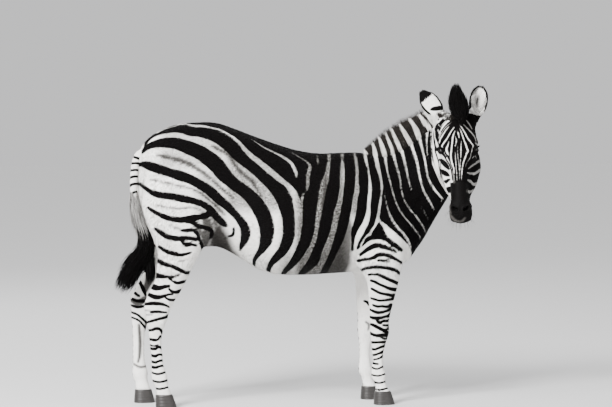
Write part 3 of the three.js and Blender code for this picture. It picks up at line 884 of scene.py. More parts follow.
# %% Lines on the body: kind, name, then across, up and width
BODY_MARKS = [
    ("black", "croup", [(-777, 1275, 7), (-771, 1296, 10), (-761, 1314, 13), (-745, 1330, 15),
        (-725, 1340, 12), (-695, 1351, 12), (-660, 1360, 18), (-620, 1368, 28),
        (-580, 1368, 40), (-550, 1358, 42), (-500, 1354, 45), (-450, 1342, 50),
        (-410, 1326, 55), (-370, 1301, 62), (-335, 1272, 62), (-308, 1241, 60),
        (-275, 1210, 52), (-225, 1172, 52), (-175, 1131, 62), (-135, 1095, 68),
        (-105, 1060, 72), (-80, 1015, 72), (-65, 965, 68), (-57, 915, 58), (-55, 865, 58),
        (-62, 815, 55), (-85, 765, 45), (-108, 738, 38), (-132, 712, 30), (-150, 688, 22),
        (-160, 660, 20), (-165, 625, 15), (-153, 660, 10)]),
    ("black", "rump 1", [(-790, 1252, 8), (-770, 1272, 18), (-750, 1285, 25), (-715, 1296, 35),
        (-675, 1301, 45), (-635, 1300, 52), (-595, 1290, 58), (-550, 1274, 65),
        (-500, 1252, 68), (-465, 1228, 72), (-435, 1206, 75), (-405, 1175, 75),
        (-380, 1142, 70), (-352, 1115, 60), (-320, 1088, 58), (-285, 1064, 58),
        (-255, 1039, 60), (-230, 1012, 66), (-210, 985, 70), (-192, 955, 74), (-175, 915, 73),
        (-165, 865, 70), (-170, 815, 59), (-180, 788, 45), (-193, 765, 32), (-212, 740, 21),
        (-227, 715, 15), (-230, 680, 10)]),
    ("black", "rump 2", [(-805, 1192, 15), (-775, 1192, 30), (-750, 1184, 41),
        (-700, 1168, 43), (-650, 1152, 40), (-600, 1136, 49), (-550, 1119, 43),
        (-500, 1092, 43), (-460, 1068, 45), (-430, 1042, 46), (-398, 1012, 43),
        (-368, 988, 39), (-342, 962, 35), (-318, 938, 32), (-297, 912, 36), (-282, 888, 40),
        (-272, 860, 45), (-273, 835, 42), (-280, 810, 32), (-291, 788, 20), (-298, 765, 6)]),
    ("black", "rump 3", [(-815, 1100, 9), (-800, 1095, 12), (-780, 1080, 15), (-750, 1058, 20),
        (-720, 1045, 28), (-690, 1038, 30), (-650, 1034, 31), (-600, 1024, 34),
        (-550, 1014, 30), (-500, 1000, 28), (-465, 982, 30), (-440, 958, 32), (-420, 935, 32),
        (-400, 914, 32), (-382, 898, 25), (-370, 888, 15)]),
    ("black", "thigh 1", [(-760, 978, 8), (-735, 960, 15), (-710, 946, 18), (-685, 934, 22),
        (-650, 922, 23), (-600, 915, 26), (-560, 920, 28), (-530, 925, 30), (-500, 930, 22),
        (-470, 938, 25), (-450, 950, 30)]),
    ("black", "thigh 1 branch", [(-570, 912, 20), (-540, 905, 18), (-510, 888, 20),
        (-480, 878, 16), (-455, 871, 15), (-440, 855, 15), (-445, 830, 12)]),
    ("black", "thigh 2", [(-590, 864, 10), (-570, 862, 15), (-540, 865, 15), (-520, 855, 15),
        (-505, 825, 12), (-490, 785, 12), (-485, 765, 10)]),
    ("black", "thigh 3", [(-725, 872, 8), (-700, 855, 20), (-675, 838, 22), (-650, 828, 22),
        (-610, 822, 22), (-570, 825, 18), (-540, 822, 15), (-515, 818, 12)]),
    ("black", "thigh 4", [(-590, 810, 12), (-570, 792, 20), (-545, 794, 12), (-520, 788, 10)]),
    ("black", "thigh 5", [(-705, 782, 10), (-680, 765, 16), (-650, 752, 18), (-620, 745, 18),
        (-600, 740, 13), (-570, 745, 9), (-545, 752, 6)]),
    ("black", "thigh 6", [(-725, 720, 10), (-700, 706, 20), (-670, 692, 18), (-640, 684, 16),
        (-615, 672, 18), (-590, 660, 16), (-565, 651, 15), (-540, 655, 10)]),
    ("black", "gaskin 1", [(-740, 640, 30), (-710, 636, 25), (-680, 632, 18), (-650, 630, 11),
        (-625, 634, 9), (-605, 640, 8)]),
    ("black", "gaskin 1 branch", [(-655, 622, 8), (-635, 610, 10), (-615, 600, 13),
        (-590, 605, 13), (-565, 612, 10)]),
    ("black", "gaskin 2", [(-755, 595, 15), (-730, 580, 28), (-705, 575, 22), (-680, 581, 18),
        (-655, 585, 12)]),
    ("black", "gaskin 2 branch", [(-655, 570, 8), (-640, 558, 12), (-620, 554, 15),
        (-595, 562, 15)]),
    ("black", "gaskin 3", [(-780, 560, 12), (-750, 540, 18), (-725, 530, 22), (-700, 530, 18),
        (-680, 535, 14), (-660, 542, 9), (-635, 545, 6)]),
    ("black", "gaskin 3 branch", [(-670, 525, 8), (-650, 516, 10), (-620, 515, 10)]),
    ("black", "hock 1", [(-790, 492, 8), (-755, 497, 15), (-725, 498, 16), (-700, 496, 15),
        (-675, 490, 10), (-655, 480, 6)]),
    ("black", "hock 2", [(-745, 455, 10), (-715, 457, 12), (-690, 455, 9), (-668, 453, 6)]),
    ("black", "hock 3", [(-770, 402, 8), (-735, 412, 12), (-700, 422, 12), (-670, 430, 12),
        (-650, 445, 10)]),
    ("black", "hind cannon 1", [(-765, 363, 9), (-740, 365, 12), (-720, 372, 14),
        (-700, 368, 12), (-685, 345, 10), (-675, 325, 8)]),
    ("black", "hind cannon 2", [(-755, 320, 10), (-730, 315, 13), (-710, 318, 9),
        (-698, 335, 8), (-680, 315, 8)]),
    ("black", "hind cannon 3", [(-752, 273, 10), (-725, 270, 12), (-705, 281, 11),
        (-680, 268, 12)]),
    ("black", "hind cannon 4", [(-750, 242, 9), (-725, 234, 13), (-705, 242, 10), (-675, 238, 9)]),
    ("black", "hind cannon 5", [(-750, 212, 8), (-725, 203, 11), (-700, 211, 9), (-670, 215, 8)]),
    ("black", "fetlock 2", [(-750, 185, 8), (-725, 177, 13), (-700, 184, 10), (-665, 190, 8)]),
    ("black", "fetlock 3", [(-745, 155, 6), (-715, 145, 8), (-680, 152, 8), (-650, 165, 6)]),
    ("black", "pastern 2", [(-740, 80, 6), (-700, 70, 8), (-640, 85, 6)]),
    ("black", "pastern", [(-745, 115, 6), (-710, 105, 8), (-675, 110, 8), (-645, 125, 6)]),
    ("black", "flank hook", [(-332, 875, 6), (-332, 855, 9), (-338, 838, 10), (-355, 834, 6)]),
    ("black", "rib 1", [(70, 1255, 100), (95, 1225, 85), (95, 1190, 70), (90, 1155, 68),
        (78, 1115, 58), (65, 1065, 60), (53, 1015, 70), (48, 965, 65), (45, 915, 60),
        (40, 865, 60), (28, 815, 54), (5, 765, 46), (-25, 715, 36), (-50, 685, 28),
        (-75, 660, 22), (-90, 630, 20), (-95, 595, 15)]),
    ("black", "rib 2", [(180, 1265, 45), (180, 1215, 48), (175, 1165, 48), (172, 1115, 52),
        (165, 1065, 60), (155, 1015, 60), (142, 965, 55), (132, 915, 55), (122, 865, 55),
        (108, 815, 45), (88, 765, 42), (70, 715, 48), (40, 680, 35), (15, 655, 28),
        (-5, 625, 22), (-15, 590, 15)]),
    ("black", "rib 3", [(240, 1265, 45), (245, 1215, 50), (250, 1165, 50), (250, 1115, 50),
        (245, 1065, 50), (238, 1015, 45), (230, 965, 48), (220, 915, 48), (208, 865, 45),
        (192, 815, 42), (172, 765, 32), (150, 715, 28), (125, 665, 28), (105, 630, 22),
        (95, 590, 15)]),
    ("black", "shoulder 1", [(295, 1265, 35), (305, 1215, 30), (315, 1165, 40),
        (318, 1115, 45), (320, 1065, 40), (312, 1015, 45), (308, 965, 45), (295, 915, 40),
        (282, 885, 32), (270, 855, 25), (265, 815, 12), (262, 765, 8)]),
    ("black", "shoulder 2", [(345, 1265, 30), (355, 1215, 30), (362, 1175, 32),
        (372, 1135, 38), (380, 1090, 40), (380, 1040, 40), (372, 990, 35), (368, 940, 28),
        (355, 890, 25), (342, 865, 25), (325, 835, 22), (305, 805, 18), (290, 775, 10)]),
    ("black", "arch 1", [(310, 790, 10), (335, 815, 15), (360, 828, 20), (380, 830, 20),
        (410, 828, 20), (435, 818, 20), (460, 800, 20), (480, 785, 20), (505, 765, 15)]),
    ("black", "arch 2", [(300, 740, 10), (330, 762, 15), (355, 778, 20), (385, 788, 22),
        (415, 782, 20), (445, 772, 15), (480, 755, 8)]),
    ("black", "arch 3", [(290, 711, 12), (325, 718, 12), (350, 721, 12), (375, 730, 15),
        (390, 740, 18), (420, 742, 16), (450, 734, 15), (480, 718, 12), (510, 700, 10)]),
    ("black", "arch 4", [(390, 712, 10), (415, 710, 10), (445, 708, 8)]),
    ("black", "arch 5", [(305, 665, 10), (340, 675, 14), (375, 679, 15), (410, 678, 15),
        (450, 672, 16), (480, 662, 15), (500, 645, 12)]),
    ("black", "forearm 1", [(340, 640, 8), (360, 644, 10), (390, 642, 12), (415, 632, 15),
        (440, 620, 15), (465, 609, 15), (495, 595, 15)]),
    ("black", "forearm 2", [(355, 612, 10), (375, 606, 12), (400, 592, 12), (425, 582, 12),
        (450, 572, 15), (490, 565, 18)]),
    ("black", "forearm 3", [(358, 572, 10), (380, 560, 12), (405, 548, 12), (430, 544, 12),
        (455, 539, 15), (480, 538, 18)]),
    ("black", "forearm 4", [(355, 525, 8), (375, 518, 10), (400, 512, 10), (425, 514, 10),
        (450, 518, 12), (475, 525, 15)]),
    ("black", "forearm 5", [(365, 490, 9), (385, 483, 11), (410, 484, 11), (435, 482, 12),
        (455, 490, 15)]),
    ("black", "forearm 6", [(350, 468, 8), (370, 458, 12), (395, 452, 14), (425, 458, 12),
        (450, 470, 12), (468, 490, 12)]),
    ("black", "knee 1", [(345, 432, 6), (370, 425, 15), (395, 425, 15), (420, 431, 10),
        (445, 438, 15), (460, 460, 10)]),
    ("black", "knee 2", [(385, 410, 10), (400, 402, 15), (415, 410, 10), (435, 411, 12),
        (455, 417, 15)]),
    ("black", "knee 3", [(415, 390, 8), (430, 388, 9), (452, 389, 12)]),
    ("black", "knee 4", [(345, 398, 6), (370, 388, 15), (395, 375, 15), (420, 362, 15),
        (445, 348, 15)]),
    ("black", "knee 5", [(425, 368, 6), (448, 373, 11)]),
    ("black", "knee 6", [(345, 355, 9), (365, 342, 12), (390, 337, 15), (415, 340, 15),
        (445, 338, 15)]),
    ("black", "knee 7", [(400, 330, 6), (420, 322, 6), (445, 322, 11)]),
    ("black", "cannon 1", [(340, 305, 9), (370, 303, 10), (400, 304, 10), (445, 306, 14)]),
    ("black", "cannon 2", [(350, 272, 8), (375, 268, 10), (400, 278, 10), (435, 290, 12)]),
    ("black", "cannon 3", [(355, 238, 9), (380, 243, 9), (405, 252, 10), (435, 270, 11)]),
    ("black", "cannon 4", [(370, 217, 7), (395, 223, 7), (420, 240, 9)]),
    ("black", "cannon 5", [(345, 208, 8), (370, 198, 8), (390, 195, 6)]),
    ("black", "fore hind cannon 5", [(-750, 290, 6), (-730, 285, 6), (-710, 290, 6)]),
    ("black", "fetlock 1", [(360, 178, 6), (385, 170, 6), (420, 185, 6)]),
    ("black", "fore fetlock 2", [(350, 145, 6), (385, 135, 6), (425, 145, 6)]),
    ("black", "fore pastern 2", [(355, 75, 6), (395, 65, 7), (440, 75, 6)]),
    ("black", "fore pastern", [(355, 110, 6), (395, 100, 6), (435, 110, 6)]),
    ("black", "croup edge", [(-550, 1418, 12), (-585, 1410, 12), (-625, 1395, 11),
        (-675, 1380, 11), (-710, 1364, 9), (-750, 1338, 15), (-765, 1322, 10)]),
    ("white", "croup", [(-715, 1352, 11), (-675, 1370, 8), (-625, 1384, 8), (-585, 1398, 10),
        (-565, 1394, 10), (-525, 1385, 15), (-485, 1384, 15), (-440, 1375, 12),
        (-400, 1365, 12), (-360, 1345, 11), (-330, 1325, 15), (-300, 1298, 18),
        (-275, 1270, 20), (-240, 1232, 28), (-210, 1210, 30), (-175, 1180, 33),
        (-140, 1152, 33), (-105, 1122, 32), (-70, 1095, 29), (-45, 1070, 32), (-25, 1040, 35),
        (-15, 1000, 38), (-8, 955, 40), (-5, 915, 40)]),
    ("white", "back 1", [(-265, 1325, 2), (-230, 1310, 6), (-200, 1290, 9), (-170, 1272, 12),
        (-135, 1255, 12), (-100, 1238, 15), (-70, 1220, 18), (-45, 1200, 19), (-30, 1175, 20),
        (-20, 1150, 20), (-15, 1130, 12)]),
    ("white", "back 2", [(-85, 1265, 2), (-40, 1250, 5), (-5, 1230, 9), (25, 1212, 11),
        (45, 1195, 18), (50, 1175, 22), (42, 1145, 22), (39, 1115, 22), (38, 1080, 18),
        (30, 1055, 8)]),
    ("white", "back 2 foot", [(18, 1045, 12), (10, 1020, 20)]),
    ("white", "back tick", [(88, 1235, 8), (90, 1215, 15), (90, 1190, 10)]),
    ("white", "neck 1", [(360, 1335, 11), (370, 1300, 15), (372, 1255, 18), (385, 1215, 15),
        (395, 1165, 13), (405, 1125, 12), (412, 1090, 11), (408, 1050, 12), (402, 1000, 15),
        (395, 950, 15), (392, 920, 15)]),
    ("white", "neck 1 left", [(392, 920, 15), (375, 890, 11), (350, 855, 11), (325, 825, 11),
        (305, 790, 13)]),
    ("white", "neck 1 right", [(392, 920, 15), (415, 888, 15), (450, 850, 16), (485, 815, 17),
        (520, 780, 15), (545, 745, 11)]),
    ("white", "neck 2", [(420, 1050, 6), (430, 1010, 9), (440, 970, 11), (455, 930, 15),
        (480, 890, 15), (510, 855, 15), (540, 815, 15), (555, 775, 11)]),
    ("white", "neck 3", [(395, 1315, 11), (415, 1265, 18), (425, 1235, 18), (432, 1190, 15),
        (442, 1140, 13), (455, 1090, 12), (468, 1040, 12), (488, 985, 12), (515, 940, 12),
        (550, 898, 11), (585, 855, 10), (605, 820, 9)]),
    ("white", "neck 4", [(430, 1345, 9), (450, 1300, 17), (465, 1260, 18), (475, 1215, 16),
        (490, 1165, 14), (502, 1115, 13), (508, 1065, 12), (522, 1015, 11), (550, 970, 11),
        (585, 928, 11), (615, 885, 10), (630, 850, 7)]),
    ("white", "neck 5", [(455, 1365, 11), (480, 1325, 18), (502, 1280, 22), (518, 1230, 17),
        (530, 1180, 16), (540, 1130, 13), (550, 1090, 11), (560, 1060, 6)]),
    ("white", "neck 6", [(495, 1380, 13), (525, 1345, 20), (552, 1305, 20), (570, 1255, 18),
        (585, 1205, 17), (595, 1155, 16), (604, 1110, 14), (620, 1060, 13), (645, 1015, 13),
        (670, 970, 10)]),
    ("white", "neck 7", [(545, 1415, 18), (575, 1375, 22), (595, 1335, 20), (608, 1285, 16),
        (622, 1230, 15), (632, 1175, 14), (642, 1125, 13), (665, 1080, 13), (700, 1035, 11),
        (730, 1005, 9)]),
    ("white", "neck 8", [(595, 1435, 22), (620, 1400, 24), (635, 1360, 18), (634, 1315, 11),
        (636, 1265, 9), (642, 1220, 6)]),
    ("white", "neck 10", [(615, 1465, 26), (645, 1450, 41), (665, 1425, 41), (672, 1400, 26)]),
    ("white", "neck 9", [(655, 1385, 7), (655, 1325, 7), (658, 1265, 7), (662, 1210, 9),
        (680, 1160, 11), (705, 1105, 11), (735, 1055, 11)]),
    ("white", "throat", [(600, 990, 4), (620, 960, 6), (635, 930, 6), (645, 915, 4)]),
    ("grey", "rib gap", [(130, 1135, 10), (128, 1085, 18), (122, 1035, 18), (112, 975, 12)]),
    ("grey", "croup", [(-435, 1285, 15), (-390, 1260, 20), (-350, 1235, 20), (-330, 1200, 18),
        (-300, 1160, 20), (-265, 1130, 20), (-235, 1105, 20), (-215, 1070, 15), (-190, 1030, 10)]),
    ("grey", "rump 1", [(-715, 1238, 10), (-690, 1234, 20), (-650, 1226, 22), (-610, 1216, 25),
        (-575, 1204, 25), (-540, 1188, 25), (-515, 1172, 20), (-480, 1150, 18),
        (-445, 1120, 15), (-410, 1090, 15), (-370, 1055, 15), (-335, 1025, 10)]),
    ("grey", "rump 2", [(-750, 1118, 5), (-700, 1108, 8), (-660, 1100, 8), (-625, 1091, 8),
        (-600, 1082, 12), (-570, 1080, 10), (-530, 1065, 10), (-490, 1045, 15),
        (-460, 1020, 15), (-435, 1000, 15), (-405, 970, 20), (-380, 945, 15)]),
    ("grey", "rump 3", [(-725, 992, 5), (-685, 982, 8), (-650, 978, 8), (-610, 971, 8),
        (-570, 975, 7), (-535, 978, 6), (-500, 965, 8)]),
    ("grey", "thigh", [(-650, 888, 5), (-620, 875, 8), (-585, 864, 10)]),
    # the next three grey lines are painted shade, in the fold of the flank, at the stifle and in
    # the groin
    ("grey", "flank", [(-485, 945, 25), (-465, 905, 45), (-460, 865, 55), (-470, 825, 45),
        (-475, 785, 30)]),
    ("grey", "stifle", [(-540, 905, 15), (-505, 870, 25), (-490, 835, 25)]),
    ("grey", "groin", [(-435, 925, 15), (-420, 885, 18), (-425, 845, 18), (-440, 805, 15)]),
    ("grey", "gaskin", [(-610, 708, 5), (-580, 712, 5)]),
    ("grey", "hock", [(-780, 465, 5), (-745, 460, 5)]),
    ("grey", "hock 2", [(-775, 440, 6), (-740, 443, 6)]),
]

# %% Lines on the head
# Lines of kind dim are white made grey: on the far side of the face this is painted shade, as that
# side looks away from the light; the few on the near side are greyish hair.
FACE_MARKS = [
    ("white", "temple", [(669, 1395, 3), (672, 1360, 5), (674, 1330, 5), (680, 1310, 8),
        (685, 1292, 14), (688, 1280, 12)]),
    ("dim", "temple", [(680, 1380, 3), (690, 1365, 9), (700, 1345, 12), (695, 1325, 7)]),
    ("white", "temple 2", [(692, 1392, 4), (705, 1380, 3), (715, 1395, 5), (730, 1410, 5)]),
    ("black", "temple 3", [(702, 1402, 12), (715, 1416, 10), (730, 1432, 8), (745, 1447, 6)]),
    ("black", "temple 4", [(705, 1438, 5), (720, 1449, 6), (738, 1460, 5)]),
    ("black", "temple 5", [(686, 1432, 10), (692, 1418, 8)]),
    ("black", "temple 6", [(679, 1392, 9), (684, 1372, 11)]),
    ("grey", "temple 7", [(735, 1420, 8), (755, 1438, 8)]),
    ("black", "side stripe", [(666, 1265, 11), (670, 1235, 8), (674, 1195, 8), (682, 1165, 11),
        (685, 1142, 13), (688, 1130, 5)]),
    ("grey", "cheek shade", [(685, 1225, 5), (688, 1200, 10), (692, 1170, 10), (698, 1140, 10),
        (702, 1115, 10), (708, 1095, 10)]),
    ("grey", "forelock foot", [(780, 1410, 10), (790, 1395, 20), (805, 1390, 15)]),
    ("grey", "forelock foot 2", [(745, 1400, 8), (760, 1402, 15), (770, 1410, 10)]),
    ("white", "brow 1", [(774, 1434, 9), (750, 1418, 10), (730, 1400, 10), (715, 1382, 9),
        (705, 1365, 6), (698, 1350, 3)]),
    ("dim", "brow 1 foot", [(759, 1405, 3), (740, 1390, 5), (722, 1372, 6), (708, 1350, 5),
        (699, 1328, 4)]),
    ("white", "brow 2", [(745, 1382, 4), (730, 1365, 6), (715, 1342, 7), (702, 1320, 7),
        (696, 1300, 6)]),
    ("white", "brow 3", [(771, 1378, 4), (758, 1362, 6), (745, 1340, 7), (730, 1315, 7),
        (715, 1295, 8), (710, 1282, 9), (714, 1265, 9), (720, 1245, 10), (730, 1228, 10),
        (742, 1208, 9), (752, 1188, 6), (758, 1170, 4)]),
    ("white", "brow 4", [(745, 1308, 2), (740, 1290, 7), (732, 1270, 11), (735, 1255, 11),
        (743, 1240, 5)]),
    ("white", "nose 1", [(775, 1360, 4), (765, 1335, 8), (761, 1305, 8), (758, 1275, 8),
        (755, 1250, 9), (755, 1225, 9), (760, 1200, 9), (768, 1175, 7), (770, 1150, 6)]),
    ("white", "nose 2", [(776, 1334, 3), (782, 1315, 6), (780, 1298, 5), (775, 1282, 3)]),
    ("white", "nose 3", [(786, 1360, 3), (792, 1345, 7), (795, 1328, 5)]),
    ("white", "nose 4", [(776, 1255, 3), (778, 1215, 5), (781, 1180, 4), (784, 1140, 4),
        (785, 1115, 3)]),
    ("dim", "nose 5", [(789, 1285, 3), (788, 1255, 5), (790, 1225, 6), (795, 1190, 6),
        (798, 1155, 6), (798, 1115, 4)]),
    ("white", "nose 6", [(806, 1310, 3), (805, 1275, 6), (804, 1240, 5), (802, 1205, 4),
        (800, 1165, 3)]),
    ("white", "nose 7", [(798, 1375, 3), (808, 1350, 6), (818, 1320, 7), (828, 1295, 8),
        (835, 1272, 9), (840, 1260, 9), (832, 1245, 9), (825, 1225, 8), (816, 1200, 6),
        (811, 1170, 6), (808, 1135, 5), (808, 1115, 3)]),
    ("white", "nose 8", [(799, 1390, 3), (812, 1372, 6), (826, 1348, 7), (840, 1322, 8),
        (855, 1302, 7), (865, 1288, 8), (862, 1270, 6), (856, 1250, 5)]),
    ("dim", "nose 8 foot", [(856, 1250, 5), (852, 1230, 5), (842, 1212, 4), (832, 1198, 4),
        (826, 1175, 3)]),
    ("dim", "brow 5", [(808, 1402, 5), (825, 1385, 7), (845, 1365, 7), (865, 1342, 8),
        (876, 1325, 7), (880, 1308, 5)]),
    ("dim", "brow 6", [(828, 1418, 5), (842, 1400, 8), (852, 1385, 7), (860, 1370, 5)]),
    ("dim", "far brow", [(878, 1300, 7), (888, 1290, 14), (900, 1285, 14)]),
    ("dim", "under far eye", [(862, 1225, 5), (870, 1232, 7), (882, 1235, 6), (895, 1228, 6)]),
    ("dim", "far cheek 1", [(842, 1172, 6), (855, 1182, 10), (870, 1193, 11), (885, 1200, 12),
        (900, 1210, 14), (935, 1225, 16), (1000, 1245, 19)]),
    ("dim", "far cheek 2", [(838, 1152, 6), (850, 1148, 12), (870, 1147, 14), (885, 1152, 14),
        (900, 1160, 15), (940, 1180, 19), (1010, 1200, 19)]),
    ("dim", "far cheek 3", [(840, 1115, 9), (850, 1110, 15), (865, 1100, 16), (880, 1097, 15),
        (920, 1110, 19), (1000, 1135, 19)]),
    ("dim", "far cheek 4", [(840, 1060, 12), (850, 1055, 18), (865, 1062, 12), (910, 1075, 19),
        (990, 1095, 19)]),
    ("dim", "chin seam", [(850, 1020, 3), (870, 1035, 7), (920, 1055, 10)]),
    ("white", "muzzle edge", [(732, 1048, 9), (745, 1042, 10), (749, 1035, 4)]),
    ("black", "cheek 1", [(680, 1222, 6), (698, 1216, 14), (704, 1210, 23), (718, 1200, 26),
        (732, 1186, 21), (745, 1170, 9)]),
    ("black", "cheek 2", [(682, 1174, 6), (698, 1166, 11), (704, 1160, 21), (718, 1152, 25),
        (732, 1145, 21), (745, 1137, 8)]),
    ("black", "cheek 3", [(716, 1112, 11), (728, 1108, 18), (740, 1114, 13), (749, 1118, 6)]),
    ("black", "cheek edge", [(722, 1232, 5), (735, 1212, 6), (747, 1192, 6), (755, 1170, 5),
        (760, 1142, 5), (763, 1115, 4)]),
    ("grey", "nose side", [(763, 1160, 3), (767, 1135, 7), (770, 1105, 10)]),
    ("black", "cheek 4", [(725, 1074, 15), (738, 1067, 29), (752, 1070, 24)]),
    ("grey", "jaw edge", [(735, 1030, 6), (740, 1000, 8), (744, 975, 8)]),
    ("grey", "lip side", [(748, 1000, 5), (746, 972, 9), (752, 950, 9)]),
    ("grey", "lip rim", [(745, 948, 8), (760, 927, 11), (780, 911, 11), (798, 905, 11),
        (812, 910, 9), (824, 924, 7)]),
    ("black", "near eye band", [(668, 1272, 11), (680, 1268, 13), (690, 1265, 11),
        (710, 1252, 14), (720, 1239, 10), (730, 1230, 6)]),
]
FAR_LEG_MARKS = [
    ("black", "far 1", [(-800, 682, 10), (-770, 662, 16), (-740, 645, 15)]),
    ("black", "far 2", [(-818, 630, 8), (-798, 600, 15), (-782, 565, 16), (-772, 540, 10)]),
    ("black", "far 3", [(-845, 570, 7), (-825, 550, 12), (-805, 535, 10)]),
    ("black", "far 4", [(-848, 525, 10), (-815, 512, 14), (-775, 510, 14)]),
    ("black", "far 5", [(-848, 490, 8), (-815, 480, 12), (-775, 485, 10)]),
    ("black", "far 6", [(-845, 455, 7), (-810, 440, 9), (-770, 405, 10)]),
    ("black", "far 7", [(-845, 430, 6), (-805, 412, 8), (-770, 372, 9)]),
    # the grey lines of the far hind leg are painted shade, as that leg stands in the shadow of the
    # near ones; its black lines are stripes
    ("grey", "far hock", [(-840, 515, 24), (-810, 500, 33), (-775, 520, 33)]),
    ("grey", "far gaskin", [(-765, 725, 38), (-750, 675, 43), (-755, 615, 38), (-775, 565, 28)]),
    ("grey", "far streak", [(-805, 390, 14), (-800, 315, 17), (-802, 240, 15), (-810, 205, 10)]),
    ("grey", "far edge", [(-770, 405, 14), (-765, 315, 17), (-760, 215, 17), (-755, 115, 14)]),
    ("grey", "far band", [(-830, 195, 10), (-800, 180, 12), (-765, 185, 10)]),
    ("black", "far fore 1", [(320, 510, 6), (335, 505, 11), (345, 490, 8)]),
    ("grey", "far fore 2", [(330, 405, 10), (345, 390, 12), (340, 365, 7)]),
]

# %% From drawing to ink
SHEET_RIGHT = np.array([math.cos(VIEW_AZIMUTH), math.sin(VIEW_AZIMUTH), 0])
SHEET_OUT = np.array(towards_viewer)
SHEET_UP = np.cross(SHEET_OUT, SHEET_RIGHT)
STAND_OFF = VIEW_DISTANCE * 1000  # the drawing is made from this far away
SHEET_MIDDLE = (30, 997.5)  # where the middle of the view lies on the sheet


def on_sheet(plan):
    """Across and up on the drawing sheet of points on the animal's right side."""
    reach = plan - AIM_PLAN
    spread = STAND_OFF / (STAND_OFF - reach @ SHEET_OUT)
    along_sheet = (reach @ SHEET_RIGHT * spread, reach @ SHEET_UP * spread)
    return np.stack([start + far for start, far in zip(SHEET_MIDDLE, along_sheet)], 1)


def to_right_side(plan):
    """Points of both sides, with the left side folded over on to the right one."""
    x, y, z = plan.T
    bend = np.interp(x, *NECK_BEND) * smooth_step(900, 1060, z)
    back = left_leg_back(x, z) * smooth_step(900, 600, z)
    return np.stack([np.where(y > 0, x + back, x), bend - np.abs(y - bend), z], 1)


def inside(points, outline):
    """Distance in from the edge of an outline: positive inside, negative outside."""
    outline = np.array(outline, float)
    ends = np.roll(outline, -1, axis=0)
    away, crossings = np.full(len(points), 1e9), np.zeros(len(points), int)
    px, py = points.T
    for (ax, ay), (bx, by) in zip(outline, ends):
        step = np.array([bx - ax, by - ay])
        t = np.clip(((px - ax) * step[0] + (py - ay) * step[1]) / (step @ step), 0, 1)
        away = np.minimum(away, np.hypot(px - ax - t * step[0], py - ay - t * step[1]))
        spans = (ay > py) != (by > py)
        if ay != by:
            crossings += spans & (px < ax + (py - ay) / (by - ay) * (bx - ax))
    return np.where(crossings % 2 == 1, away, -away)


def within_stroke(points, stroke):
    """Half the stroke's width less the distance to its line: positive inside the stroke."""
    rows = along(stroke, np.linspace(0, 1, 5 * (len(stroke) - 1) + 1))
    reach = 45 + rows[:, 2].max() / 2
    low, high = rows[:, :2].min(0) - reach, rows[:, :2].max(0) + reach
    near = np.flatnonzero(((points > low) & (points < high)).all(1))
    depth = np.full(len(points), -99.0)
    here = points[near]
    best = np.full(len(near), -99.0)
    for (ax, ay, aw), (bx, by, bw) in zip(rows[:-1], rows[1:]):
        step = np.array([bx - ax, by - ay])
        t = np.clip(((here - (ax, ay)) @ step) / max(step @ step, 1e-6), 0, 1)
        gap = np.hypot(here[:, 0] - ax - t * step[0], here[:, 1] - ay - t * step[1])
        best = np.maximum(best, (aw + (bw - aw) * t) / 2 - gap)
    depth[near] = best
    return depth


def draw(points, fields, marks, ground=-30.0):
    """Ink and greyness of points on the sheet, after all fields and lines, in drawing order."""
    ink, grey = np.full(len(points), ground), np.zeros(len(points))
    for field in fields:
        ink = np.maximum(ink, inside(points, field))
    for kind, _, stroke in marks:
        depth = within_stroke(points, stroke)
        if kind == "black":
            ink = np.maximum(ink, depth)
        elif kind in ("white", "dim"):
            ink = np.minimum(ink, -depth)
        if kind == "grey":
            grey = np.maximum(grey, smooth_step(-5, 4, depth) * 0.95)
        # a dim line: white with painted shade on the far side of the face, greyish hair on the
        # near side
        elif kind == "dim":
            grey = np.maximum(grey, smooth_step(-6, 0, depth) * 0.72)
        elif kind == "white":
            grey *= 1 - smooth_step(-4, 1, depth)
    return ink, grey


# Where dust, dark hairs and painted shade dull the white: strength, left, right, low and high on
# the sheet.
DUST_AND_SHADE_PLACES = [
    [1.00, -30, 235, 560, 1320],  # ribs
    [0.92, 235, 330, 930, 1320],  # behind the shoulder
    [0.70, 350, 560, 900, 1220],  # lower neck
    [0.80, -380, -30, 960, 1320],  # flank and loin
    [0.70, -90, -30, 560, 960],  # belly behind the ribs
    [0.58, -700, -380, 1170, 1420],  # croup
    [0.58, -520, -380, 880, 1170],  # hip
]
# painted shade fades out over the same width as the dust
DUST_AND_SHADE_EDGE = 40  # half the width over which dust fades out
ELBOW_SHADE = [(245, 940), (262, 880), (258, 800), (250, 700), (225, 650), (150, 640),
    (110, 655), (150, 705), (190, 790), (225, 880)]


def paint_body(plan):
    """Ink, greyness and dust of the trunk, neck and legs, with painted shade in both greyness and
    dust.
    """
    folded = to_right_side(plan)
    wander = np.stack(
        [np.sin(plan[:, 2] / 61 + plan[:, 0] / 83), np.cos(plan[:, 0] / 57 - plan[:, 2] / 71)], 1
    )
    points = on_sheet(folded) + wander * (6 * (plan[:, 1] > 60))[:, None]
    ink, grey = draw(points, [BACK_FIELD, NECK_FIELD, SHOULDER_FIELD], BODY_MARKS)
    across, up = points.T
    # painted shade in the groin and behind the elbow
    grey = np.maximum(grey, smooth_step(-25, 20, inside(points, GROIN_SHADE)))
    grey = np.maximum(grey, 0.85 * smooth_step(-14, 10, inside(points, ELBOW_SHADE)))
    dust = np.zeros(len(plan))
    for strength, left, right, low, high in DUST_AND_SHADE_PLACES:
        here = (
            smooth_step(left - DUST_AND_SHADE_EDGE, left + DUST_AND_SHADE_EDGE, across)
            * smooth_step(right + DUST_AND_SHADE_EDGE, right - DUST_AND_SHADE_EDGE, across)
            * smooth_step(low - DUST_AND_SHADE_EDGE, low + DUST_AND_SHADE_EDGE, up)
            * smooth_step(high + DUST_AND_SHADE_EDGE, high - DUST_AND_SHADE_EDGE, up)
        )
        dust = np.maximum(dust, strength * here)
    return ink, grey, dust


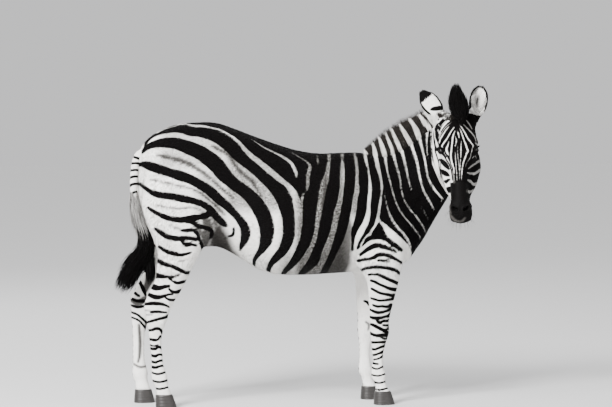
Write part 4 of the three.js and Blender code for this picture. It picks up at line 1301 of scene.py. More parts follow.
def paint_legs_and_belly(plan, normals, ink, grey):
    """Fades the stripes on the inside of the legs and under the belly."""
    _, y, z = plan.T
    inward = -np.sign(y) * normals[:, 1]
    inner = smooth_step(0.15, 0.55, inward) * smooth_step(760, 660, z)
    ink = ink - 26 * inner
    under = smooth_step(-0.6, -0.9, normals[:, 2]) * smooth_step(760, 700, z) * (z > 600)
    ink = ink - 22 * under * smooth_step(75, 20, np.abs(y))
    grey = grey * (1 - inner)
    # the inner sides of the far legs get their own stripes, and the far hind leg its painted shade
    far = (inner > 0.3) & (y > 0)
    far_ink, far_grey = draw(on_sheet(plan[far]), [], FAR_LEG_MARKS)
    ink[far] = np.maximum(ink[far], far_ink)
    grey[far] = np.maximum(grey[far], far_grey)
    return ink, grey


NECK_MARKS = [mark for mark in BODY_MARKS if mark[1].startswith(("neck", "throat"))]


# The face looks straight at the sheet. Behind its widest line the sheet is rolled back over the
# cheek, so that a stripe carries on round the side of the head. Behind the near cheek the neck's
# own stripes go on over the jaw.
def paint_head(plan):
    """Ink, greyness and bareness of the head."""
    face = to_head(plan)
    points = on_sheet(plan)
    left, out, down = face.T
    behind = np.maximum(0, -70 - out)
    points[:, 0] += np.sign(left) * behind * 0.75 * smooth_step(30, 60, np.abs(left))
    points[:, 1] += behind * 0.30 * smooth_step(30, 60, np.abs(left))
    ink, grey = draw(points, [FACE_FIELD], FACE_MARKS)
    flat = on_sheet(plan)
    beside = (inside(flat, NECK_BEHIND_FACE) > 0) & (left < 0)
    ink[beside], grey[beside] = draw(flat[beside], [NECK_FIELD], NECK_MARKS)
    bare = smooth_step(-4, 5, inside(points, MUZZLE_FIELD)) * smooth_step(300, 350, down)
    nose, up, gaze = eye_places(face).T
    ring = np.hypot((nose + 3) / 27, (up - 1) / 17)
    lids = smooth_step(1.25, 0.95, ring) * (gaze > 0)
    ink, grey = np.maximum(ink, 30 * lids - 15), grey * (1 - lids)
    bare = np.maximum(bare, lids * smooth_step(0.95, 0.75, ring))
    ink = np.where(bare > 0.4, np.maximum(ink, 8), ink)
    under = smooth_step(-196, -225, out) * smooth_step(240, 120, down)
    return ink - 18 * under * ~beside, grey, bare


EAR_BAR = [(654, 1468, 12), (672, 1471, 23), (698, 1474, 26), (718, 1478, 22)]


def paint_ear(plan, normals, side):
    """Ink, greyness and weight of one ear."""
    root, axes = EARS[side]
    across, opening, height = ((plan - root) @ axes.T).T
    share = height / EAR_LENGTH
    half = ear_rows(share)[1]
    weight = smooth_step(0.06, 0.16, share) * (share < 1.15)
    weight = weight * (np.abs(across) < 56) * (np.abs(opening) < 48)
    to_axis = -across[:, None] * axes[0] * 0.6 + (14 - opening)[:, None] * axes[1]
    hollow = ((unit(to_axis) * normals).sum(1) > 0.05) & (share > 0.14)
    tip = 180 * (share - 0.72)
    bar = np.minimum(13 - np.abs(share - 0.37) * EAR_LENGTH, across * -side + 18)
    if side < 0:
        bar = within_stroke(on_sheet(plan), EAR_BAR)
    outer = np.maximum(tip, bar)
    rim = 4.5 - (half - np.abs(across)) - 30 * smooth_step(0.3, 0.12, share)
    rim = np.maximum(rim, 150 * (share - 0.965))
    ink = np.where(hollow, rim, np.maximum(outer, rim))
    # painted shade in the ear's hollow: a grey line along its middle, grey towards one side, and a
    # faint grey over all of it
    shade_line = np.exp(-(((across * side - 1) / 9) ** 2)) * smooth_step(0.26, 0.42, share)
    shade_line = shade_line * smooth_step(0.86, 0.62, share)
    shaded = 0.6 * smooth_step(4, 18, across * side) * smooth_step(0.2, 0.35, share)
    grey = hollow * np.clip(0.1 + 0.9 * shade_line + shaded, 0, 1)
    if side > 0:
        grey = np.maximum(grey, 0.6 * smooth_step(0.34, 0.1, share))
    return ink, grey, weight * (1 - smooth_step(1.05, 1.15, share))


# %% Paint the skin
def set_attributes(mesh, **layers):
    """Stores one number per vertex on a mesh, for each name."""
    for name, values in layers.items():
        layer = mesh.attributes.new(name, "FLOAT", "POINT")
        layer.data.foreach_set("value", np.asarray(values, np.float32))


# Where black and white hairs mix at an edge, the white ones win the eye, so the ink is spread a
# little, in millimetres, by region.
SPREAD = {"body": 3.2, "leg": 2.0, "head": 1.4}


def paint(plan, normals):
    """Everything that is painted, at points of the skin or of the coat."""
    ink, grey, dust = paint_body(plan)
    ink, grey = paint_legs_and_belly(plan, normals, ink, grey)
    bare = np.zeros(len(plan))
    face = head_share(plan) > 0.5
    thinner = (SPREAD["body"] - SPREAD["leg"]) * smooth_step(760, LEG_TOP, plan[:, 2])
    ink += SPREAD["body"] - thinner
    ink[face], grey[face], bare[face] = paint_head(plan[face])
    ink[face] += SPREAD["head"]
    dust[face] = 0.1
    for side in EARS:
        ear_ink, ear_grey, weight = paint_ear(plan, normals, side)
        on_ear = weight > 0.5
        ink[on_ear], grey[on_ear], dust[on_ear] = ear_ink[on_ear], ear_grey[on_ear], 0
    return {"ink": np.clip(ink, -14, 14), "grey": grey, "dust": dust, "bare": bare}


painted = paint(to_plan(mesh_places(skin.data)), mesh_normals(skin.data))
set_attributes(skin.data, **painted)
print("painted, means:", {name: round(float(np.mean(v)), 2) for name, v in painted.items()})

# %% [markdown]
# ## Materials of the skin and coat
# Zebra hair is a dense short coat, each hair a smooth tapered fibre with a dull oily gloss. The
# same recipe serves the skin under the coat and the tufts: white hair, speckled with dust, black
# hair where the ink is positive, a soft ragged edge a few hairs wide, and a weak sheen. The white
# also turns grey where the hair is grey, and where shade is painted: in the groin, behind the
# elbow, on the far side of the face, in the ear's hollow and on the far hind leg, and, together
# with the dust, over the trunk, croup and lower neck. On the skin a stretched noise of the size of
# a lock of hair also tilts the surface, so that light breaks up as on fur. Muzzle and lids are
# bare black skin, a little lighter on the lips. A real hair is 0.1 mm thick, far too fine to show,
# so the locks are drawn about 5 mm wide.

# %% Colours and nodes


def linear(code, alpha=1.0):
    """An sRGB hex colour as linear RGBA."""
    parts = [int(code[i : i + 2], 16) / 255 for i in (0, 2, 4)]
    curve = [c / 12.92 if c <= 0.04045 else ((c + 0.055) / 1.055) ** 2.4 for c in parts]
    return (*curve, alpha)


def add(tree, kind, inputs=(), **settings):
    """Adds a node with its settings, and inputs as numbers, colours or sockets to link."""
    made = tree.nodes.new(kind)
    for name, value in settings.items():
        setattr(made, name, value)
    for name, value in dict(inputs).items():
        if isinstance(value, bpy.types.NodeSocket):
            tree.links.new(value, made.inputs[name])
        else:
            made.inputs[name].default_value = value
    return made


def new_material(name):
    """A material with an empty tree and its output, which a shader is linked to later."""
    material = bpy.data.materials.new(name)
    material.use_nodes = True
    material.node_tree.nodes.clear()
    return material, material.node_tree


def finish_material(tree, shader):
    """Links a shader to the output."""
    add(tree, "ShaderNodeOutputMaterial", {"Surface": shader.outputs[0]})


def grains(tree, place, size, detail=3):
    """A noise with grains of a given size in millimetres."""
    settings = {"Vector": place, "Scale": 1000 / size, "Detail": detail}
    return add(tree, "ShaderNodeTexNoise", settings).outputs["Fac"]


# the third colour is the grey of grey hair and also of painted shade
WHITE_HAIR, DUST_AND_SHADE_GREY, GREY_HAIR_AND_SHADE, BLACK_HAIR = "f6f4f0", "363431", "32302e", "050404"
BARE_SKIN, LIP_SKIN = "060505", "403e3c"


def mixed(tree, share, low, high):
    """A colour node that blends two colours or sockets by a share."""
    return add(tree, "ShaderNodeMix", {0: share, 6: low, 7: high}, data_type="RGBA").outputs[2]


def worked_out(tree, operation, *values, **settings):
    """The result of a sum on numbers or sockets."""
    inputs = dict(enumerate(values))
    return add(tree, "ShaderNodeMath", inputs, operation=operation, **settings).outputs[0]


def hair_material(name, bump_height, darkest=BLACK_HAIR):
    """Short zebra hair: fibres lying flat, matt with a weak sheen, black and white by ink."""
    material, tree = new_material(name)
    place = add(tree, "ShaderNodeTexCoord").outputs["Object"]
    ink, grey, dust, bare = (
        add(tree, "ShaderNodeAttribute", attribute_name=painted_name).outputs["Fac"]
        for painted_name in ("ink", "grey", "dust", "bare")
    )
    # locks three times as long as wide, specks of dust, and broad dusty patches
    lying = add(tree, "ShaderNodeMapping", {"Vector": place, "Scale": (0.35, 1, 1)}).outputs[0]
    locks = grains(tree, lying, 5.263)
    flecks = grains(tree, place, 5.882)
    patches = grains(tree, place, 111.1)
    ragged = worked_out(tree, "MULTIPLY_ADD", locks, 5.0, -2.5)
    edge = worked_out(tree, "ADD", ink, ragged)
    black = add(
        tree, "ShaderNodeMapRange", {"Value": edge, "From Min": -1.8, "From Max": 1.8},
        interpolation_type="SMOOTHSTEP",
    ).outputs[0]
    speckled = worked_out(tree, "MULTIPLY_ADD", flecks, 1.6, 0.08, use_clamp=True)
    # dust and painted shade dull the white towards a dark grey, in flecks
    dusty = worked_out(
        tree, "MULTIPLY_ADD", patches, 0.1, worked_out(tree, "MULTIPLY", speckled, dust)
    )
    white = mixed(tree, dusty, linear(WHITE_HAIR), linear(DUST_AND_SHADE_GREY))
    # grey hair, and painted shade, in one grey
    white = mixed(tree, grey, white, linear(GREY_HAIR_AND_SHADE))
    hair = mixed(tree, black, white, linear(darkest))
    skin_colour = mixed(tree, grey, linear(BARE_SKIN), linear(LIP_SKIN))
    colour = mixed(tree, bare, hair, skin_colour)
    rough = add(
        tree, "ShaderNodeMapRange", {"Value": bare, "To Min": 0.8, "To Max": 0.6}
    ).outputs[0]
    inputs = {
        "Base Color": colour,
        "Roughness": rough,
        "IOR": 1.55,
        "Sheen Weight": 0.012,
        "Sheen Roughness": 0.45,
        "Specular IOR Level": 0.03,
    }
    if bump_height:
        raised = add(
            tree, "ShaderNodeBump", {"Height": locks, "Distance": bump_height, "Strength": 0.7}
        )
        inputs["Normal"] = raised.outputs[0]
    finish_material(tree, add(tree, "ShaderNodeBsdfPrincipled", inputs))
    return material


hide = hair_material("short_zebra_hide", 0.0035)
skin.data.materials.clear()
skin.data.materials.append(hide)

# %% [markdown]
# ## Eyes
# A taxidermist sets glass eyes: a ball with a clear front that bulges a little, dark brown iris
# and a pupil like a lying bean, as grazing animals have. One sphere does it, with the pupil and
# iris stored as a distance from the middle of the gaze, so that the lines stay sharp.

# %% Glass eyes
IRIS_RADIUS, PUPIL_RADIUS = 14.5, 5.0
PUPIL_STRETCH = 1.7  # how much wider than high it is


def eye(side):
    """An eyeball in the head, that knows its distance from pupil and iris edge, in millimetres."""
    bm = bmesh.new()
    bmesh.ops.create_uvsphere(bm, u_segments=64, v_segments=48, radius=1)
    ways = np.array([v.co for v in bm.verts])
    nose, up, gaze = ways[:, 0] * EYE_RADIUS, ways[:, 1] * EYE_RADIUS, ways[:, 2]
    bulge = 1 + 0.07 * smooth_step(0.70, 0.98, gaze)  # the clear front
    local = ways * EYE_RADIUS * bulge[:, None]
    face = EYE_PLACE + local[:, :1] * TO_NOSE + local[:, 1:2] * EYE_UP + local[:, 2:3] * GAZE
    face[:, 0] *= side
    set_places(bm, to_metres(on_head(face)))
    bmesh.ops.recalc_face_normals(bm, faces=bm.faces)
    name = "eye_left" if side > 0 else "eye_right"
    made = object_from("glass_" + name, bm)
    shade_smooth(made)
    front = gaze > 0
    set_attributes(
        made.data,
        pupil=np.where(front, PUPIL_RADIUS - np.hypot(nose / PUPIL_STRETCH, up), -20),
        iris=np.where(front, IRIS_RADIUS - np.hypot(nose, up), -20),
    )
    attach(made, "root")
    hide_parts(name)
    return made


def glass_eye_material():
    """Glass eye: painted from behind and polished, dark and wet, with one sharp highlight."""
    material, tree = new_material("glass_eye")
    share = {}
    for name in ("pupil", "iris"):
        distance = add(tree, "ShaderNodeAttribute", attribute_name=name).outputs["Fac"]
        limits = {"Value": distance, "From Min": -0.8, "From Max": 0.8}
        share[name] = add(tree, "ShaderNodeMapRange", limits).outputs[0]
    place = add(tree, "ShaderNodeTexCoord").outputs["Object"]
    iris = mixed(tree, grains(tree, place, 1.4286, 2), linear("060403"), linear("0f0906"))
    colour = mixed(tree, share["iris"], linear("0c0807"), iris)
    colour = mixed(tree, share["pupil"], colour, linear("030303"))
    shader = add(
        tree, "ShaderNodeBsdfPrincipled",
        {"Base Color": colour, "Roughness": 0.09, "IOR": 1.4},
    )
    finish_material(tree, shader)
    return material


glass = glass_eye_material()
for side in (1, -1):
    eye(side).data.materials.append(glass)
print("eyes set, radius", EYE_RADIUS, "mm")

# %% [markdown]
# ## Hooves
# A hoof is horn that grows down from the coronet, a few millimetres a month, and each month leaves
# a faint ring. The wall is the leg's own loft carried on to the floor, with more rings of vertices
# and the growth rings worked in as a small wave. The sole is flat, as a trimmed hoof is.

# %% Horn hooves
HOOF_HEIGHTS = [CORONET + 3, CORONET, 60] + list(range(56, 4, -3)) + [3, 0]
# millimetres: height of the fine and the broad growth rings, then how far the wall draws in where
# it goes under the hair, and where its edge is worn round at the floor
FINE_RING, BROAD_RING, UNDER_HAIR, WORN_EDGE = 0.2, 0.25, 2.6, 1.6


def hoof(name, table, side, backs):
    """One hoof: the leg's table cut off above the coronet, with growth rings."""
    table = np.array(table)[::-1]
    rows = []
    for z in HOOF_HEIGHTS:
        row = [z] + [np.interp(z, table[:, 0], table[:, k]) for k in range(1, 6)]
        ring = FINE_RING * math.sin(z * 1.15) + BROAD_RING * math.sin(z * 0.43 + 1)
        ring = ring - UNDER_HAIR * (z > CORONET) - WORN_EDGE * (z == 0)
        row[1], row[2], row[4] = row[1] - ring, row[2] + ring, row[4] + ring
        rows.append(row)
    bm = loft(rows, leg_section(rows, side, backs), 40, rings=2 * len(rows))
    made = object_from(name + "_horn", bm)
    shade_smooth(made)
    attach(made, "root")
    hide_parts(name)
    return made


def horn_material():
    """Hoof horn: keratin worn dull, dark grey-brown, with fine upright fibres and growth rings."""
    material, tree = new_material("hoof_horn")
    place = add(tree, "ShaderNodeTexCoord").outputs["Object"]
    upright = add(tree, "ShaderNodeMapping", {"Vector": place, "Scale": (1, 1, 0.08)}).outputs[0]
    fibres = grains(tree, upright, 2.381)
    level = add(tree, "ShaderNodeMapping", {"Vector": place, "Scale": (0.1, 0.1, 1)}).outputs[0]
    rings = grains(tree, level, 6.667, 2)
    colour = mixed(tree, fibres, linear("131110"), linear("262220"))
    colour = mixed(tree, rings, colour, linear("1b1816"))
    raised = add(tree, "ShaderNodeBump", {"Height": rings, "Distance": 0.0012, "Strength": 0.8})
    shader = add(
        tree, "ShaderNodeBsdfPrincipled",
        {"Base Color": colour, "Roughness": 0.5, "IOR": 1.55, "Normal": raised.outputs[0]},
    )
    finish_material(tree, shader)
    return material


horn = horn_material()
for prefix, table, left_backs in (
    ("fore", FORELEG, LEFT_FORE_BACK), ("hind", HINDLEG, LEFT_HIND_BACK)
):
    for side, name, backs in ((-1, "right", [0, 0, 0]), (1, "left", left_backs)):
        hoof(f"{prefix}_hoof_{name}", table, side, backs).data.materials.append(horn)
print("four hooves,", len(HOOF_HEIGHTS), "levels each")

# %% [markdown]
# ## Hair as solid spikes
# Particle hair would be lost when the model leaves Blender, so hair here is solid. One spike is
# made from a cone with three sides, and arrays repeat it: each copy has a path to follow, a width
# and a thickness. A spike stands for a lock of a few dozen hairs. Where the spikes lie flat and
# overlap like roof tiles, the eye reads them as a coat. Each spike carries the markings of the
# place it covers, and a small patch on a flat plan of the skin, which is kept as the map OFBake.

# %% One spike, repeated
def spike(cuts):
    """Angles, shares of the length and faces of a three-sided spike, closed at its foot."""
    bm = bmesh.new()
    bmesh.ops.create_cone(bm, cap_ends=True, segments=3, radius1=1, radius2=0.01, depth=1)
    bmesh.ops.remove_doubles(bm, verts=bm.verts, dist=0.05)
    if cuts:
        bmesh.ops.subdivide_edges(bm, edges=upright_edges(bm), cuts=cuts)
    bmesh.ops.triangulate(bm, faces=bm.faces)
    bmesh.ops.recalc_face_normals(bm, faces=bm.faces)
    places = np.array([v.co for v in bm.verts])
    faces = np.array([[v.index for v in f.verts] for f in bm.faces])
    bm.free()
    share = np.round(places[:, 2] + 0.5, 4)
    angle = np.arctan2(places[:, 1], places[:, 0])
    return angle, share, faces


def arc(foot, middle, tip):
    """Paths from foot to tip, drawn towards the middle."""
    foot, middle, tip = (ends[:, None] for ends in (foot, middle, tip))

    def path(share):
        t = share[None, :, None]
        return foot * (1 - t) ** 2 + middle * 2 * t * (1 - t) + tip * t * t

    return path


def sleeve(plan):
    """A flat plan of the skin, 0 to 1 each way: trunk, legs and head unrolled side by side."""
    x, y, z = plan.T
    centre_y = np.interp(x, *NECK_BEND)
    centre_z = np.interp(x, [-800, 0, 300, 450, 714], [1130, 950, 990, 1060, 1300])
    turn = np.arctan2(y - centre_y, z - centre_z) / (2 * math.pi) + 0.5
    flat = np.stack([0.02 + 0.6 * (x + 920) / 1700, 0.34 + 0.62 * turn], 1)
    leg = z < 700
    side, fore = y > 0, x > 0
    middle_x = np.where(fore, 385, -720) - np.where(side, np.where(fore, 20, 55), 0)
    turn = np.arctan2(y - np.where(side, 127, -127), x - middle_x) / (2 * math.pi) + 0.5
    column = np.where(fore, 0.5, 0.02) + np.where(side, 0.24, 0)
    flat[leg] = np.stack([column + 0.22 * turn, 0.02 + 0.28 * z / 700], 1)[leg]
    left, out, down = to_head(plan).T
    turn = np.arctan2(left, out + 100) / (2 * math.pi) + 0.5
    head = head_share(plan) > 0.5
    flat[head] = np.stack([0.66 + 0.32 * turn, 0.36 + 0.58 * (down + 180) / 760], 1)[head]
    return np.clip(flat, 0.004, 0.996)


ACROSS_PATCH = 0.0015  # half the width of a spike's patch on the flat plan


def grow(name, form, path, side, rise, profile, values, material, slot):
    """A piece of many spikes. side and rise are half a spike's width and thickness, as vectors."""
    angle, share, faces = form
    centre = path(share)
    count = len(centre)
    wide = np.interp(share, *zip(*profile))[None, :, None]
    cosine, sine = np.cos(angle)[None, :, None], np.sin(angle)[None, :, None]
    places = centre + (side[:, None] * cosine + rise[:, None] * sine) * wide
    mesh = bpy.data.meshes.new(name)
    corners = (faces[None] + np.arange(count)[:, None, None] * len(share)).reshape(-1, 3)
    mesh.vertices.add(count * len(share))
    mesh.vertices.foreach_set("co", to_metres(places.reshape(-1, 3)).ravel())
    mesh.loops.add(corners.size)
    mesh.loops.foreach_set("vertex_index", corners.ravel())
    mesh.polygons.add(len(corners))
    mesh.polygons.foreach_set("loop_start", np.arange(0, corners.size, 3))
    mesh.update(calc_edges=True)
    mesh.polygons.foreach_set("use_smooth", [True] * len(corners))
    for attribute, value in values.items():
        each = value if np.ndim(value) == 2 else np.repeat(value, len(share))
        set_attributes(mesh, **{attribute: np.ravel(each)})
    flat = sleeve(path(np.zeros(1))[:, 0])
    patch = np.stack([np.cos(angle) * ACROSS_PATCH, share * 2 * ACROSS_PATCH], 1)
    layer = mesh.uv_layers.new(name="OFBake")
    layer.data.foreach_set("uv", (flat[:, None] + patch[None]).reshape(-1, 2)[corners].ravel())
    made = bpy.data.objects.new(name, mesh)
    bpy.context.scene.collection.objects.link(made)
    mesh.materials.append(material)
    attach(made, "root")
    print(name + ":", count, "spikes,", len(corners), "triangles")
    return made


# %% [markdown]
# ## Mane and forelock
# A zebra's mane stands up like a brush, because its hairs are short and stiff. The stripes of the
# neck run on through it to dark tips. Spikes are planted along the crest in a band a few
# centimetres wide and lean back a little with height; a thinner core keeps light from shining
# through. Between the ears the brush sinks low, and a tall black forelock, made below as a
# bundle, carries it on.

# %% The brush's table and its stripes
# foot x, y and z on the crest, how far the hair stands out forwards and upwards, half thickness
MANE = [
    [330, 0, 1240, -6, 36, 8],
    [372, 0, 1236, -18, 70, 14],
    [428, -7, 1238, -38, 108, 20],
    [484, -24, 1260, -48, 126, 22],
    [536, -50, 1290, -53, 130, 23],
    [586, -86, 1328, -50, 122, 23],
    [636, -128, 1370, -41, 108, 23],
    [680, -176, 1408, -28, 76, 23],
    [710, -222, 1428, -10, 30, 22],
    [730, -252, 1436, 0, 18, 20],
]
MANE_SUNK = 30  # how deep the brush starts inside the neck
MANE_MARKS = [
    ("white", "mane 1", [(310, 1280, 14), (332, 1235, 22), (350, 1200, 18)]),
    ("white", "mane 2", [(357, 1316, 7), (370, 1264, 20), (376, 1225, 22), (380, 1190, 20)]),
    ("white", "mane 3", [(386, 1342, 11), (408, 1284, 21), (424, 1232, 21), (430, 1195, 20)]),
    ("white", "mane 4", [(419, 1366, 9), (442, 1306, 16), (462, 1258, 15), (466, 1215, 16)]),
    ("white", "mane 5", [(446, 1394, 9), (471, 1330, 18), (500, 1268, 19), (512, 1215, 17)]),
    ("white", "mane 6", [(488, 1404, 11), (523, 1346, 21), (553, 1295, 22), (566, 1240, 20)]),
    ("white", "mane 7", [(538, 1432, 11), (573, 1376, 23), (594, 1325, 25), (608, 1265, 20)]),
    ("white", "mane 8", [(586, 1454, 11), (617, 1407, 22), (646, 1372, 21), (656, 1340, 18)]),
    ("white", "ear root", [(625, 1462, 30), (650, 1446, 50), (668, 1420, 50), (675, 1400, 34)]),
    ("white", "poll 1", [(706, 1448, 10), (726, 1462, 13), (748, 1476, 11)]),
    ("white", "poll 2", [(712, 1420, 8), (732, 1436, 12), (752, 1448, 9)]),
]


def brush_frame(share):
    """Foot, up and side directions, height and half thickness of the mane."""
    x, y, z, forward, upward, half = along(MANE, share).T
    up = np.stack([forward, 0 * share, upward], 1)
    height = np.linalg.norm(up, axis=1)
    up = unit(up)
    ahead, behind = (along(MANE, np.clip(share + s, 0, 1))[:, :3] for s in (0.03, -0.03))
    return np.stack([x, y, z], 1), up, unit(np.cross(up, ahead - behind)), height, half


def mane_section(share):
    foot, up, side, height, half = brush_frame(share)
    rise = height * 0.8 + MANE_SUNK
    return foot - up * MANE_SUNK, up, side, rise, 10 + 0 * share, half * 0.7, 2.4


def paint_mane(plan, foot_share, tip_share):
    """Ink and greyness of points of the brush: its black is soft below and firm at the tips."""
    folded = plan.copy()
    crest = np.interp(foot_share, np.linspace(0, 1, len(MANE)), [row[1] for row in MANE])
    folded[:, 1] = crest - np.abs(plan[:, 1] - crest) * 0.2
    ink, _ = draw(on_sheet(folded), [], MANE_MARKS, ground=14.0)
    grey = 0.3 * smooth_step(0.55, 1.0, tip_share)
    return np.clip(ink, -14, 2.6) + 4 * smooth_step(0.84, 0.98, tip_share), grey


# %% Core and brush
brush_hair = hair_material("stiff_mane_hair", 0, "201d1b")
MANE_SPIKES = 5600


def brush(name, count):
    """Plants spikes along the crest."""
    share = rng.uniform(0, 1, count)
    foot, up, side, height, half = brush_frame(share)
    across = rng.uniform(-1, 1, count)
    lean = unit(up + side * (across * 0.16 + rng.normal(0, 0.05, count))[:, None]
                + X * rng.normal(-0.02, 0.05, count)[:, None])
    root = foot + side * (across * half * 0.8)[:, None] - up * (MANE_SUNK * 0.6)
    reach = (height * np.sqrt(1 - 0.35 * across**2) * rng.uniform(0.7, 1.03, count) ** 0.8
             + MANE_SUNK * 0.6)
    tip = root + lean * reach[:, None]
    middle = root + (up * 0.4 + lean * 0.1) * reach[:, None]
    path = arc(root, middle, tip)
    form = spike(2)
    centres = path(form[1])
    ink, grey = (
        values.reshape(count, -1)
        for values in paint_mane(
            centres.reshape(-1, 3), np.repeat(share, len(form[1])), np.tile(form[1], count)
        )
    )
    values = {"ink": ink + rng.normal(0, 0.5, (count, 1)),
              "grey": grey + rng.uniform(0, 0.12, (count, 1)), "dust": 0.1 + 0 * share,
              "bare": 0 * share}
    sideways = unit(np.cross(lean, rng.normal(size=(count, 3))))
    return grow(name, form, path, sideways * 1.7, np.cross(lean, sideways) * 1.3,
                [(0, 1), (0.33, 1), (0.67, 0.7), (1, 0.02)], values, brush_hair, "mane")


core_form = loft(MANE, mane_section, 24, rings=60)
mane_core = object_from("mane_core", core_form, brush_hair)
shade_smooth(mane_core)
plan = to_plan(mesh_places(mane_core.data))
feet = np.array(MANE)[:, :3]
core_share = to_line(plan, feet + [0, 0, 40])[1]
ink, grey = paint_mane(plan, core_share, np.zeros(len(plan)) + 0.5)
set_attributes(mane_core.data, ink=ink, grey=grey, dust=0 * ink, bare=0 * ink)
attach(mane_core, "root")

mane = brush("mane_brush", MANE_SPIKES)
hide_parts("mane")

# %% [markdown]
# ## Bundles of long hair
# Forelock and tail are bundles: every spike keeps its own place in a bundle that swells and
# narrows. A table gives the bundle's middle line and its two half widths. Each spike starts at
# some share of that line, follows it for a while and waves loose at its tip.

# %% Bundles and the forelock
# centre x, y and z, half length fore and aft, half width
FORELOCK = [
    [758, -306, 1396, 12, 14],
    [765, -298, 1426, 29, 28],
    [758, -292, 1465, 45, 36],
    [745, -287, 1515, 43, 36],
    [738, -284, 1562, 28, 28],
    [741, -283, 1608, 11, 14],
]


def bundle_frame(table, share):
    """Centre, fore-and-aft direction, and the two half widths of a bundle."""
    x, y, z, reach, half = along(table, share).T
    ahead, behind = (along(table, np.clip(share + s, 0, 1))[:, :3] for s in (0.02, -0.02))
    return np.stack([x, y, z], 1), unit(np.cross(Y, unit(ahead - behind))), reach, half


def bundle(name, table, count, starts, lengths, spread, black, material, slot, greys=(0.1, 0.7)):
    """Spikes that start between two shares of the table and run a share of its length along it."""
    start = rng.uniform(*starts, count)
    end = np.minimum(start + rng.uniform(*lengths, count), rng.uniform(0.62, 1.0, count) ** 0.5)
    angle = rng.uniform(0, 2 * math.pi, count)
    radius = np.sqrt(rng.uniform(0, 1, count)) * spread
    wave = rng.normal(0, 0.2, (count, 2))

    def path(share):
        here = start[:, None] + (end - start)[:, None] * share[None]
        centre, up, reach, half = bundle_frame(table, here.ravel())
        open_out = np.minimum(1, 0.6 + 0.9 * share)[None] * (1 + 0 * here)
        loose = share[None] ** 2
        fore = np.cos(angle)[:, None] * radius[:, None] * open_out + wave[:, :1] * loose
        side = np.sin(angle)[:, None] * radius[:, None] * open_out + wave[:, 1:] * loose
        offset = up * (fore.ravel() * reach)[:, None] + Y * (side.ravel() * half)[:, None]
        return (centre + offset).reshape(count, len(share), 3)

    lean = unit(path(np.array([0.6]))[:, 0] - path(np.array([0.4]))[:, 0])
    sideways = unit(np.cross(lean, rng.normal(size=(count, 3))))
    values = {"ink": np.full(count, black), "grey": rng.uniform(*greys, count),
              "dust": rng.uniform(0, 0.6, count), "bare": np.zeros(count)}
    return grow(name, spike(5), path, sideways * 1.5, np.cross(lean, sideways) * 1.2,
                [(0, 0.8), (0.3, 1), (0.7, 0.8), (1, 0.05)], values, material, slot)


forelock = bundle("forelock_hair", FORELOCK, 3400, (0.0, 0.45), (0.45, 0.75), 0.95, 14,
                  hair_material("long_forelock_hair", 0), "mane")
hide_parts("forelock")

# %% [markdown]
# ## Tail
# The upper half of the tail, the dock, is bone under short striped hair, like a leg, and is one
# more loft. Long coarse hair hangs from its lower end, grey at first and black below, and is blown
# to one side. It is made as bundles, like the forelock.

# %% Dock
# centre x, y and z, half length fore and aft, half width
TAIL = [
    [-776, 0, 1262, 26, 26],
    [-806, 0, 1240, 27, 27],
    [-824, 0, 1195, 24, 26],
    [-832, 0, 1120, 22, 24],
    [-832, 0, 1050, 21, 24],
    [-826, 0, 1000, 24, 27],
    [-806, 0, 925, 30, 31],
    [-784, 0, 860, 34, 33],
    [-772, 0, 800, 42, 34],
    [-790, 0, 745, 50, 33],
    [-828, 0, 700, 50, 31],
    [-856, 0, 655, 46, 29],
    [-882, 0, 610, 42, 25],
    [-914, 0, 560, 30, 18],
]
TAIL_MARKS = [
    ("black", "band 1", [(-836, 1232, 12), (-800, 1220, 15)]),
    ("black", "band 2", [(-850, 1195, 12), (-828, 1199, 13), (-800, 1198, 15)]),
    ("black", "band 3", [(-852, 1160, 11), (-830, 1165, 13), (-806, 1164, 12)]),
    ("black", "band 4", [(-852, 1124, 12), (-832, 1132, 14), (-806, 1132, 12)]),
    ("black", "band 5", [(-856, 1078, 11), (-836, 1094, 14), (-800, 1096, 11)]),
    ("black", "band 6", [(-856, 1036, 11), (-832, 1052, 14), (-804, 1058, 11)]),
]
DOCK_ROWS = 7


def dock_section(share):
    centre, up, reach, half = bundle_frame(TAIL, share * (DOCK_ROWS - 1) / (len(TAIL) - 1))
    thin = np.where(share > 0.85, 0.6, 0.88)
    return centre, up, Y, reach * thin, reach * thin, half * thin, 2.0


dock = object_from("dock_skin", loft(TAIL[:DOCK_ROWS], dock_section, 32, rings=72), hide)
shade_smooth(dock)


def paint_dock(plan):
    """Ink, greyness and dust of the dock: thin bands that go round it."""
    folded = plan.copy()
    folded[:, 1] = -20
    ink, _ = draw(on_sheet(folded), [], TAIL_MARKS)
    return np.clip(ink, -14, 14), 0.35 * smooth_step(1060, 980, plan[:, 2]), 0.25 + 0 * ink


plan = to_plan(mesh_places(dock.data))
ink, grey, dust = paint_dock(plan)
set_attributes(dock.data, ink=ink, grey=grey, dust=dust, bare=0 * ink)
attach(dock, "root")
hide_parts("tail_dock")

# %% Long tail hair
tail_hair = hair_material("coarse_tail_hair", 0)
tassel = bundle("tail_tassel_hair", TAIL, 2600, (0.36, 0.80), (0.22, 0.44), 1.0, 14, tail_hair,
                "tassel")
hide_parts("tail_tassel")
bundle("tail_skirt_hair", TAIL, 1500, (0.26, 0.42), (0.08, 0.19), 1.15, -14, tail_hair, "tassel",
       greys=(0.45, 1.0))
# the thinner hair that falls beside it, in the same columns
FALL = [
    [-778, 0, 840, 24, 20],
    [-764, 0, 770, 28, 22],
    [-754, 0, 705, 26, 20],
    [-750, 0, 650, 22, 16],
    [-752, 0, 590, 12, 10],
]
bundle("tail_fall_hair", FALL, 700, (0.0, 0.4), (0.4, 0.8), 1.0, 14, tail_hair, "tassel")

